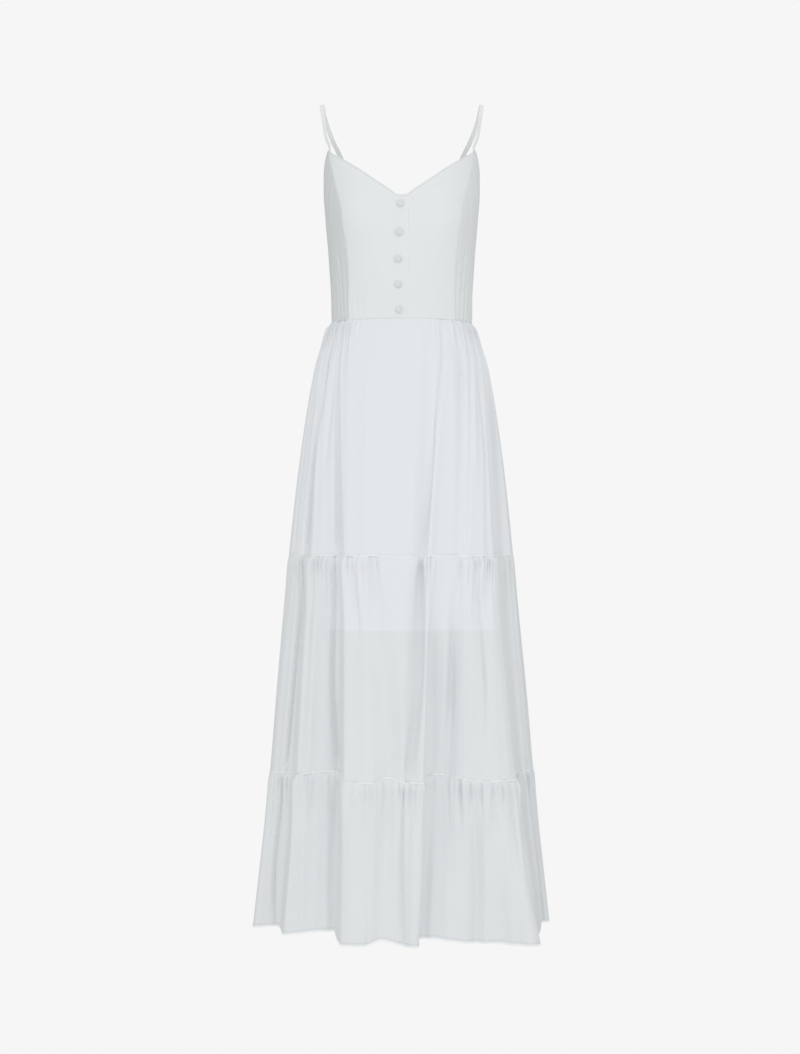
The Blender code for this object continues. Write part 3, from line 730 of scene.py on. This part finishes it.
def at_distance(distance, share):
    """The angles of a line up the front that keeps one distance from the centre."""
    z = WAIST + (TOP_CURVE(np.array(FRONT))[0] - WAIST) * share
    half_width, squareness = BODICE_CURVE(z)[..., 0], BODICE_CURVE(z)[..., 3]
    sine = (np.abs(distance) / half_width) ** (1 / squareness)
    return np.sign(distance) * np.degrees(np.arcsin(sine))


def lap_rise(across):
    """How far the right front rises to lie over the left one."""
    return LAP_LIFT * soft_step((across + LAP + LAP_RISE_FROM) / LAP_RISE_FROM)


def seam_turn():
    """Half the gap at a seam, in degrees."""
    return math.degrees(GAP / 2 / BODICE_CURVE(np.array(WAIST))[1])


def tier_points(tier, top, hem_rows, lines, lift, run, puff, seed):
    """The grid of one tier panel, with its gathers and creases."""
    columns = between_lines(lines, COLUMNS_PER_LINE)
    turn = seam_turn()
    columns[0, 0] += turn
    columns[-1, 0] -= turn
    line, height = columns[:, 0], columns[:, 1]
    calm, pleat_depth = 1.0, SMALL_DEPTH
    if tier == "upper":
        # The waist is smooth across the front and gathered towards the sides
        gathered = away(drift_at(WAIST)(line)[:, 0], FRONT) - WAIST_SMOOTH_TO
        height = height * soft_step(gathered / (WAIST_GATHERED_FROM - WAIST_SMOOTH_TO))
        pleat_depth = SMALL_DEPTH * WAIST_SMALL * np.minimum(1.0, WAIST_SMALL_LEAST + height)
    rows = []
    for down in hem_rows:
        z, left = top - down, hem_rows[-1] - down
        opened = soft_step(down / GATHER_FULL_AT)
        opening = GATHER_AT_SEAM + (1 - GATHER_AT_SEAM) * opened
        angle = drift_at(z)(line)[:, 0]
        if tier != "upper":
            # The lower tiers lie flatter at the sides, where one seam runs on into the next
            from_side = np.minimum(away(angle, LEFT_SIDE), away(angle, RIGHT_SIDE))
            calm = 1 - SIDE_CALM * np.exp(-((from_side / SIDE_CALM_REACH) ** 2))
        bulge = calm * puff * opened * math.exp(-((down / TIER_PUFF_REACH) ** 2))
        point, out = hung_at(SKIRT_CURVE, angle, z, bulge)
        gather = GATHER_DEPTH * lift * height * opening * np.exp(-((down / (run * columns[:, 2])) ** 2))
        # Small pleats between the gathers die away first, and long soft waves run on down the cloth
        small = pleat_depth * ripple(line, seed, *SMALL_WAVES) * opening
        small = small * math.exp(-((down / SMALL_RUN) ** 2))
        drift = LONG_DEPTH * ripple(line + LONG_SLANT * down, seed + 7, *LONG_WAVES)
        drift = drift * soft_step(down / LONG_FULL_AT)
        share = min(max(down / (hem_rows[-1] - LIP), 0.0), 1.0)
        free = min(soft_step(down / FREE_BELOW), soft_step(left / FREE_ABOVE) + (tier == "lower"))
        crease = crease_move(tier, angle, share, math.radians(1) * float(SKIRT_CURVE(np.array(z))[0]))
        crease = crease * (HELD_AT_SEAM + (1 - HELD_AT_SEAM) * float(free))
        tuck = -TUCK_DEPTH * soft_step((TUCK_ENDS - down) / TUCK_RISE)
        lip = LIP_LIFT * soft_step(1 - left / LIP_HEIGHT)
        rows.append(point + out * (calm * (gather + small + drift) + crease + tuck + lip)[:, None])
    return np.array(rows)


def uneven_rows(length):
    """Distances down a tier from its tucked top edge, closer together near the top, and again at the hem."""
    t = np.linspace(0, 1, TIER_ROWS)
    main = length * (EVEN_ROWS * t + (1 - EVEN_ROWS) * t**CLOSER_ROWS)
    return np.concatenate([[-TUCK, -TUCK / 2], main[:-1], length - HEM_ROWS])


def add_node(tree, kind, inputs=None, **settings):
    """A node with its settings, and its inputs linked or set."""
    node = tree.nodes.new("ShaderNode" + kind)
    for key, value in settings.items():
        setattr(node, key, value)
    for key, value in (inputs or {}).items():
        if hasattr(value, "links"):
            tree.links.new(value, node.inputs[key])
        else:
            node.inputs[key].default_value = value
    return node


def math_node(tree, operation, *values):
    """The result of a Math node."""
    return add_node(tree, "Math", dict(enumerate(values)), operation=operation).outputs[0]


def share_node(tree, value, whole):
    """A value as a share of a whole, held from 0 to 1."""
    share = math_node(tree, "DIVIDE", value, whole)
    return math_node(tree, "MINIMUM", math_node(tree, "MAXIMUM", share, 0.0), 1.0)


def fade_node(tree, value, whole):
    """1 where a value is nothing, less as it grows, and below 0 past the whole."""
    return math_node(tree, "SUBTRACT", 1.0, math_node(tree, "DIVIDE", value, whole))


def mix_node(tree, factor, first, second, blend="MIX"):
    """Two colours mixed."""
    inputs = {"Factor": factor, "A": first, "B": (*second, 1.0)}
    return add_node(tree, "Mix", inputs, data_type="RGBA", blend_type=blend).outputs["Result"]


def noise_node(tree, vector, scale, detail):
    """Uneven noise."""
    inputs = {"Vector": vector, "Scale": scale, "Detail": detail}
    return add_node(tree, "TexNoise", inputs).outputs["Fac"]


def node_group(name, inputs, outputs):
    """A node group with its named inputs, their values, and its outputs. A vector's value is None."""
    group = bpy.data.node_groups.new(name, "ShaderNodeTree")
    for key, value in inputs.items():
        kind = "NodeSocketVector" if value is None else "NodeSocketFloat"
        socket = group.interface.new_socket(key, in_out="INPUT", socket_type=kind)
        if value is not None:
            socket.default_value = value
    for key in outputs:
        group.interface.new_socket(key, in_out="OUTPUT", socket_type="NodeSocketFloat")
    return group, group.nodes.new("NodeGroupInput").outputs, group.nodes.new("NodeGroupOutput").inputs


@functools.lru_cache(maxsize=None)
def weave_group():
    """Plain weave: threads over and under, slubs in both directions, and a slow unevenness of tone."""
    inputs = {"Cloth": None, "Thread Spacing": THREAD_SPACING, "Slub": SLUB}
    group, given, made = node_group("plain_weave", inputs, ("Height", "Tone"))
    split = add_node(group, "SeparateXYZ", {0: given["Cloth"]})
    threads, slubs = [], []
    for axis, stretch in enumerate(SLUB_SCALES):
        along = math_node(group, "DIVIDE", split.outputs[axis], given["Thread Spacing"])
        threads.append(math_node(group, "SINE", math_node(group, "MULTIPLY", along, math.pi)))
        inputs = {0: given["Cloth"], 1: stretch}
        scaled = add_node(group, "VectorMath", inputs, operation="MULTIPLY")
        slubs.append(noise_node(group, scaled.outputs[0], 1.0, SLUB_DETAIL))
    over = math_node(group, "MULTIPLY", math_node(group, "MULTIPLY", *threads), THREAD_RELIEF)
    slub = math_node(group, "MULTIPLY", math_node(group, "ADD", *slubs), given["Slub"])
    patches = noise_node(group, given["Cloth"], PATCH_SCALE, PATCH_DETAIL)
    tone = math_node(group, "ADD", math_node(group, "MULTIPLY", slub, SLUB_IN_TONE), patches)
    group.links.new(math_node(group, "ADD", over, slub), made["Height"])
    group.links.new(tone, made["Tone"])
    return group


@functools.lru_cache(maxsize=None)
def stitch_group():
    """A row of stitches at a distance from an edge: a mask of the thread and one of the dented cloth."""
    inputs = {"Along": 0.0, "From Edge": 0.0, "Distance": 0.004, "Stitch Length": STITCH_LENGTH}
    group, given, made = node_group("stitch_row", inputs, ("Thread", "Dent"))
    off = math_node(group, "ABSOLUTE", math_node(group, "SUBTRACT", given["From Edge"], given["Distance"]))
    line = math_node(group, "MAXIMUM", fade_node(group, off, THREAD_HALF), 0.0)
    line = math_node(group, "MINIMUM", line, 1.0)
    place = math_node(group, "DIVIDE", given["Along"], given["Stitch Length"])
    wave = math_node(group, "SINE", math_node(group, "MULTIPLY", place, 2 * math.pi))
    on = math_node(group, "GREATER_THAN", wave, STITCH_SHOWS_FROM)
    group.links.new(math_node(group, "MULTIPLY", line, on), made["Thread"])
    group.links.new(math_node(group, "MAXIMUM", fade_node(group, off, DENT_HALF), 0.0), made["Dent"])
    return group


def cotton_material(name, colour, stitch=None, over_lining=None, seen_half=1.0, relief=RELIEF):
    """White woven cotton. A row of stitches is given as its edge, top or hem, and its distance from it.
    Where a lining backs the cloth it looks whiter, down to the lining's hem and seen_half metres aside."""
    material = bpy.data.materials.new(name)
    material.use_nodes = True
    tree = material.node_tree
    shader = tree.nodes["Principled BSDF"]
    for key, value in COTTON.items():
        shader.inputs[key].default_value = value
    cut, edges = (add_node(tree, "UVMap", uv_map=label).outputs[0] for label in ("cut", "edges"))
    split = add_node(tree, "SeparateXYZ", {0: cut})
    weave = add_node(tree, "Group", {"Cloth": cut}, node_tree=weave_group())
    height = weave.outputs["Height"]
    result = mix_node(tree, weave.outputs["Tone"], (*(c * DARK_THREAD for c in colour), 1.0), colour)
    if over_lining:
        place = add_node(tree, "TexCoord").outputs["Object"]
        where = add_node(tree, "SeparateXYZ", {0: place})
        above = math_node(tree, "SUBTRACT", where.outputs[2], LINING_HEM)
        off = math_node(tree, "ABSOLUTE", math_node(tree, "SUBTRACT", where.outputs[0], LINING_SEEN_MIDDLE))
        inside = share_node(tree, math_node(tree, "SUBTRACT", seen_half, off), LINING_FADE)
        backed = math_node(tree, "MULTIPLY", share_node(tree, above, LINING_HEM_FADE), inside)
        result = mix_node(tree, backed, result, over_lining)
    if stitch:
        edge, distance = stitch
        if edge == "hem":
            from_edge = split.outputs[1]
            # A painted highlight: a pale band just above the hem
            near = share_node(tree, math_node(tree, "SUBTRACT", EDGE_LINE, from_edge), EDGE_LINE_FADE)
            result = mix_node(tree, near, result, EDGE_PAINTED_HIGHLIGHT)
        else:
            from_edge = add_node(tree, "SeparateXYZ", {0: edges}).outputs[1]
        inputs = {"Along": split.outputs[0], "From Edge": from_edge, "Distance": distance}
        row = add_node(tree, "Group", inputs, node_tree=stitch_group())
        raised = math_node(tree, "MULTIPLY", row.outputs["Thread"], THREAD_HEIGHT)
        sunk = math_node(tree, "MULTIPLY", row.outputs["Dent"], DENT_DEPTH)
        height = math_node(tree, "SUBTRACT", math_node(tree, "ADD", height, raised), sunk)
        # Painted shade: the dented cloth beside the stitches is darkened
        result = mix_node(tree, row.outputs["Dent"], result, STITCH_DENT_PAINTED_SHADE, blend="MULTIPLY")
    tree.links.new(result, shader.inputs["Base Color"])
    inputs = {"Strength": relief, "Distance": RELIEF_DISTANCE, "Height": height}
    tree.links.new(add_node(tree, "Bump", inputs).outputs["Normal"], shader.inputs["Normal"])
    return material


class DRESS_OT_bodice(bpy.types.Operator):
    """Sews the two lapped fronts, the side fronts and the back"""

    bl_idname = "dress.bodice"
    bl_label = "Bodice"

    def execute(self, context):
        settings = context.scene.dress_cloth
        # The side fronts get the bodice cotton darkened by their painted shade
        painted_shades = {
            "bodice_cotton": 1.0,
            "side_left_painted_shade_cotton": settings.left_side_painted_shade,
            "side_right_painted_shade_cotton": settings.right_side_painted_shade,
        }
        cotton, left_painted_shade_cotton, right_painted_shade_cotton = (
            cotton_material(name, [c * tone for c in settings.bodice], ("top", TOP_STITCH))
            for name, tone in painted_shades.items()
        )
        share = np.linspace(0, 1, BODICE_ROWS)[:, None]
        princess, lap = PRINCESS_CURVE(share[:, 0])[:, :1], at_distance(LAP, share)
        turn, tuck = seam_turn(), TUCK / BODICE_RADIUS * math.degrees(1)
        # Panel, angles of its side edges, share of columns, material, depth of its waist puckers, flat size
        # and area
        panels = (
            ("front_right", turn - princess, lap, 1, cotton, 0.12, (0.165, 0.300), 0.037),
            ("front_left", -lap, princess - turn, 1, cotton, 0.12, (0.165, 0.300), 0.037),
            ("side_left", princess - tuck, LEFT_SIDE + tuck, 1, left_painted_shade_cotton, 0.5, (0.115, 0.300), 0.020),
            ("side_right", -LEFT_SIDE - tuck, tuck - princess, 1, right_painted_shade_cotton, 0.5, (0.115, 0.300), 0.020),
            ("back_bodice", LEFT_SIDE + turn, RIGHT_SIDE - turn, 2, cotton, 0.4, (0.390, 0.260), 0.088),
        )
        for seed, (node, start, end, wide, material, ease, flat, area) in enumerate(panels, start=2):
            across = np.linspace(0, 1, wide * BODICE_COLUMNS)[None, :]
            angles = start * (1 - across) + end * across + 0 * share
            bodice_sheet(node, angles, material, seed, ease, flat=flat, area=area)
        return {"FINISHED"}


class DRESS_OT_skirt(bpy.types.Operator):
    """Gathers the three tiers, front and back"""

    bl_idname = "dress.skirt"
    bl_label = "Skirt tiers"

    def execute(self, context):
        settings = context.scene.dress_cloth
        bodice = ["front_right_cloth", "front_left_cloth", "back_bodice_cloth"]
        for seed, (tier, top, bottom, lift, run, puff, seen_half, cut_width) in enumerate(TIERS):
            lower = tier == "lower"
            stitch = ("hem", settings.hem_band if lower else SEAM_STITCH)
            backing = None if lower else settings.over_lining
            material = cotton_material(f"{tier}_tier_cotton", settings.colour, stitch, backing, seen_half)
            rows = uneven_rows(top - bottom + (0.0 if lower else LIP))
            for side, start, end in HALVES:
                lines = gather_lines(start, end, seed=int(start))
                points = tier_points(tier, top, rows, lines, lift, run, puff, seed * 10 + int(start))
                cloth_object(
                    f"skirt_{tier}_{side}", points, cut_spans(points), material,
                    flat=(cut_width, top - bottom), held="gathered", rests_on=bodice,
                )
        return {"FINISHED"}


class DRESS_OT_lining(bpy.types.Operator):
    """Hangs the short lining inside the skirt"""

    bl_idname = "dress.lining"
    bl_label = "Lining"

    def execute(self, context):
        material = cotton_material("lining_cotton", context.scene.dress_cloth.lining, ("hem", LINING_STITCH))
        turn = seam_turn()
        for side, start, end in HALVES:
            lines = np.linspace(start + turn, end - turn, LINING_COLUMNS)
            rows = []
            for down in np.linspace(0, WAIST - GAP - LINING_HEM, LINING_ROWS):
                z = WAIST - GAP - down
                rows.append(hung_at(LINING_CURVE, drift_at(z)(lines)[:, 0], z)[0])
            points = np.array(rows)
            cloth_object(
                f"lining_{side}", points, cut_spans(points), material, "lining_cloth",
                flat=LINING_FLAT, held="hung", rests_on=["skirt_upper_front_cloth", "skirt_upper_back_cloth"],
            )
        return {"FINISHED"}


def strap_end(angle):
    """The outward direction of the bodice where a strap is sewn to its top edge."""
    return bodice_at(angle, TOP_CURVE(np.array(angle))[0], 0.0)[1]


def strap_route():
    """The middle line of the wearer's left strap, from inside the front's peak to inside the back edge."""
    down = np.array([STRAP_SEWN, STRAP_SEWN / 2, -STRAP_CLEAR])
    ends = []
    for angle, order in ((STRAP_FRONT_ANGLE, 1), (STRAP_BACK_ANGLE, -1)):
        edge = TOP_CURVE(np.array(angle))[0]
        ends.append(bodice_at(angle, edge - down[::order], np.full(3, -STRAP_INSIDE))[0])
    points = np.array([*ends[0], *STRAP_ROUTE, *ends[1]])
    along = summed(np.diff(points, axis=0), 0)
    curve = Curve(np.column_stack([along, points]))
    return curve(np.linspace(0, along[-1], STRAP_STEPS + 1)), along[-1]


class DRESS_OT_straps(bpy.types.Operator):
    """Turns the two flat strap tubes over the shoulders"""

    bl_idname = "dress.straps"
    bl_label = "Straps"

    def execute(self, context):
        trim = context.scene.dress_trim
        material = cotton_material("strap_cotton", trim.strap_colour, relief=STRAP_RELIEF)
        route, length = strap_route()
        front_out, back_out = strap_end(STRAP_FRONT_ANGLE), strap_end(STRAP_BACK_ANGLE)
        top = int(np.argmax(route[:, 2]))
        turn = np.linspace(0, 2 * math.pi, STRAP_CORNERS, endpoint=False)
        wide = trim.strap_width / 2 * np.sign(np.cos(turn)) * np.abs(np.cos(turn)) ** STRAP_WIDE
        deep = trim.strap_thickness / 2 * np.sign(np.sin(turn)) * np.abs(np.sin(turn)) ** STRAP_DEEP
        rings = []
        for k, point in enumerate(route):
            forward = route[min(k + 1, STRAP_STEPS)] - route[max(k - 1, 0)]
            forward /= np.linalg.norm(forward)
            near, share = front_out, k / top
            if k > top:
                near, share = back_out, (STRAP_STEPS - k) / (STRAP_STEPS - top)
            share = float(soft_step(share))
            out = near * (1 - share) + np.array(STRAP_TOP_OUT) * share
            across = np.cross(forward, out)
            across /= np.linalg.norm(across)
            out = np.cross(across, forward)
            rings.append(point + wide[:, None] * across + deep[:, None] * out)
        rings = np.array(rings)
        for side, node in ((1, "strap_left"), (-1, "strap_right")):
            obj = self.tube(node + "_tube", rings * np.array([side, 1, 1]), turn, length, trim.strap_width)
            obj.data.materials.append(material)
            place_piece(obj, node)
        return {"FINISHED"}

    def tube(self, name, rings, turn, length, width):
        """One strap as a closed tube with its own cloth coordinates."""
        steps, corners = rings.shape[:2]
        bm = bmesh.new()
        layers = [bm.loops.layers.uv.new(label) for label in ("cut", "edges")]
        verts = [[bm.verts.new(p) for p in ring] for ring in rings]
        for k in range(steps - 1):
            for c in range(corners):
                n = (c + 1) % corners
                face = bm.faces.new((verts[k][c], verts[k][n], verts[k + 1][n], verts[k + 1][c]))
                around = (turn[c], turn[c] + turn[1], turn[c] + turn[1], turn[c])
                for loop, a, step in zip(face.loops, around, (k, k, k + 1, k + 1)):
                    for layer in layers:
                        loop[layer].uv = (a / math.pi * width, step / (steps - 1) * length)
                face.smooth = True
        bm.faces.new(verts[0])
        bm.faces.new(verts[-1])
        bmesh.ops.recalc_face_normals(bm, faces=bm.faces)
        mesh = bpy.data.meshes.new(name)
        bm.to_mesh(mesh)
        bm.free()
        obj = bpy.data.objects.new(name, mesh)
        bpy.context.scene.collection.objects.link(obj)
        return obj


class DRESS_OT_buttons(bpy.types.Operator):
    """Makes the covered buttons down the lap"""

    bl_idname = "dress.buttons"
    bl_label = "Covered buttons"

    def execute(self, context):
        trim = context.scene.dress_trim
        # The darkened cover colour paints shade on the buttons
        material = cotton_material("button_painted_shade_cotton", trim.button_painted_shade_colour)
        for number, (z, across_lap) in enumerate(BUTTONS):
            self.button(f"button_{number + 1}", z, across_lap, trim, number).data.materials.append(material)
        return {"FINISHED"}

    def button(self, node, z, across_lap, trim, number):
        """One domed button, cloth drawn over its rim in small tucks, square to the lap under it."""
        bpy.ops.object.select_all(action="DESELECT")
        bpy.ops.mesh.primitive_uv_sphere_add(
            segments=BUTTON_ROUND, ring_count=BUTTON_RINGS, radius=trim.button_radius
        )
        obj = bpy.context.object
        obj.name = node + "_covered"
        bpy.ops.object.mode_set(mode="EDIT")
        bpy.ops.mesh.select_all(action="SELECT")
        bpy.ops.transform.resize(value=(1, 1, trim.button_dome / trim.button_radius))
        bpy.ops.mesh.bisect(
            plane_co=(0, 0, -BUTTON_BACK), plane_no=(0, 0, -1), use_fill=True, clear_outer=True
        )
        bpy.ops.object.mode_set(mode="OBJECT")
        for vert in obj.data.vertices:
            x, y, height = vert.co
            radius = math.hypot(x, y)
            rim = math.exp(-(((height + BUTTON_RIM_BELOW) / BUTTON_RIM_REACH) ** 2))
            tuck = math.sin(math.atan2(y, x) * BUTTON_TUCKS + number * BUTTON_TURN)
            if radius > trim.button_radius / 2:
                grow = 1 - BUTTON_TUCK_DEPTH * rim * (0.5 + 0.5 * tuck) / radius
                vert.co.x, vert.co.y = x * grow, y * grow
        bpy.ops.object.shade_smooth()
        share = (z - WAIST) / (TOP_CURVE(np.array(FRONT))[0] - WAIST)
        angle = float(at_distance(across_lap, np.array(share)))
        on_cloth = LAP_LIFT + SOLID_CLOTH / 2
        face, out = bodice_at(angle, z, on_cloth)
        steps = (trim.button_radius, -trim.button_radius)
        above, below = (bodice_at(angle, z + step, on_cloth)[0] for step in steps)
        up = (above - below) / np.linalg.norm(above - below)
        across = np.cross(up, out)
        across /= np.linalg.norm(across)
        normal = np.cross(across, up)
        turn = Matrix((across, up, normal)).transposed().to_4x4()
        lift = Matrix.Translation((0, 0, BUTTON_BACK))
        obj.data.transform(Matrix.Translation(face + normal * BUTTON_STANDOFF) @ turn @ lift)
        layers = (obj.data.uv_layers.active, obj.data.uv_layers.new(name="edges"))
        obj.data.uv_layers[0].name = "cut"
        for k, loop in enumerate(obj.data.loops):
            offset = Vector(obj.data.vertices[loop.vertex_index].co) - Vector(face)
            for layer in layers:
                layer.data[k].uv = (offset.dot(Vector(across)), offset.dot(Vector(up)))
        place_piece(obj, node)
        return obj


class DRESS_OT_studio(bpy.types.Operator):
    """Sets the camera, the pale floor and backdrop, and the soft studio light"""

    bl_idname = "dress.studio"
    bl_label = "Studio"

    def execute(self, context):
        studio = context.scene.dress_studio
        camera = bpy.data.objects.new("photo_camera", bpy.data.cameras.new("photo_camera"))
        context.scene.collection.objects.link(camera)
        camera.data.sensor_width = LENS_SENSOR
        camera.data.lens = LENS_SENSOR * CAMERA_DISTANCE / IMAGE_TALL
        camera.location = (CAMERA_ASIDE, -CAMERA_DISTANCE, CAMERA_HEIGHT)
        camera.rotation_euler = (math.radians(90), 0, 0)
        context.scene.camera = camera
        self.world(context, studio)
        self.floor(studio)
        for name, place, size, share in LIGHTS:
            light = bpy.data.objects.new(name, bpy.data.lights.new(name, "AREA"))
            context.scene.collection.objects.link(light)
            light.data.energy = studio.key_power * share
            light.data.size = size
            light.location = place
            light.rotation_euler = (Vector(LIT_MIDDLE) - Vector(place)).to_track_quat("-Z", "Y").to_euler()
        context.scene.view_settings.view_transform = "Standard"
        return {"FINISHED"}

    def from_behind(self, tree, coordinates, span, studio, ease="LINEAR"):
        """Light that grows from behind the dress to the front of it."""
        place = add_node(tree, "TexCoord").outputs[coordinates]
        inputs = {
            "Value": add_node(tree, "SeparateXYZ", {0: place}).outputs[1],
            "From Min": span[0], "From Max": span[1],
            "To Min": studio.ambient * studio.behind, "To Max": studio.ambient,
        }
        return add_node(tree, "MapRange", inputs, interpolation_type=ease).outputs[0]

    def world(self, context, studio):
        """A pale surround: the camera sees the backdrop's colour, and the dress gets a softer light."""
        world = bpy.data.worlds.new("studio")
        context.scene.world = world
        world.use_nodes = True
        tree = world.node_tree
        surround = tree.nodes["Background"]
        surround.inputs["Color"].default_value = (*studio.backdrop, 1.0)
        surround.inputs["Strength"].default_value = 1.0
        strength = self.from_behind(tree, "Generated", WORLD_FADE, studio, "SMOOTHSTEP")
        soft = add_node(tree, "Background", {"Color": (*SOFT_LIGHT, 1.0), "Strength": strength})
        seen = add_node(tree, "LightPath").outputs["Is Camera Ray"]
        inputs = {0: seen, 1: soft.outputs[0], 2: surround.outputs[0]}
        mix = add_node(tree, "MixShader", inputs)
        tree.links.new(mix.outputs[0], tree.nodes["World Output"].inputs["Surface"])

    def floor(self, studio):
        """A floor under the dress, as pale as the surround."""
        bpy.ops.object.select_all(action="DESELECT")
        bpy.ops.mesh.primitive_plane_add(size=FLOOR_SIZE, location=(0, 0, HEM - FLOOR_BELOW))
        floor = bpy.context.object
        floor.name = "studio_floor"
        material = bpy.data.materials.new("pale_floor")
        material.use_nodes = True
        tree = material.node_tree
        shader = tree.nodes["Principled BSDF"]
        look = {
            "Base Color": (0.0, 0.0, 0.0, 1.0), "Specular IOR Level": 0.0, "Roughness": 1.0,
            "Emission Color": (*studio.backdrop, 1.0),
        }
        for key, value in look.items():
            shader.inputs[key].default_value = value
        inputs = {
            "Value": add_node(tree, "LightPath").outputs["Is Camera Ray"],
            "To Min": self.from_behind(tree, "Object", FLOOR_FADE, studio),
        }
        seen = add_node(tree, "MapRange", inputs)
        tree.links.new(seen.outputs[0], shader.inputs["Emission Strength"])
        floor.data.materials.append(material)


class DRESS_PT_panel(bpy.types.Panel):
    """Lists the pieces of the dress and their settings"""

    bl_label = "Dress"
    bl_idname = "DRESS_PT_panel"
    bl_space_type = "VIEW_3D"
    bl_region_type = "UI"
    bl_category = "Dress"

    def draw(self, context):
        for name in SETTINGS:
            group = getattr(context.scene, name)
            for prop in group.bl_rna.properties:
                if prop.identifier not in {"rna_type", "name"}:
                    self.layout.prop(group, prop.identifier)
        for operator in OPERATORS:
            self.layout.operator(operator.bl_idname)


OPERATORS = (
    DRESS_OT_studio,
    DRESS_OT_bodice,
    DRESS_OT_skirt,
    DRESS_OT_lining,
    DRESS_OT_straps,
    DRESS_OT_buttons,
)
SETTINGS = {"dress_cloth": DressCloth, "dress_trim": DressTrim, "dress_studio": DressStudio}
CLASSES = (*SETTINGS.values(), *OPERATORS, DRESS_PT_panel)


def register():
    for cls in CLASSES:
        bpy.utils.register_class(cls)
    for name, group in SETTINGS.items():
        setattr(bpy.types.Scene, name, bpy.props.PointerProperty(type=group))


def unregister():
    for name in SETTINGS:
        delattr(bpy.types.Scene, name)
    for cls in reversed(CLASSES):
        bpy.utils.unregister_class(cls)


def main():
    register()
    bpy.ops.dress.studio()
    bpy.ops.dress.bodice()
    bpy.ops.dress.skirt()
    bpy.ops.dress.lining()
    bpy.ops.dress.straps()
    bpy.ops.dress.buttons()
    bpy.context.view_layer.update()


if __name__ == "__main__":
    main()
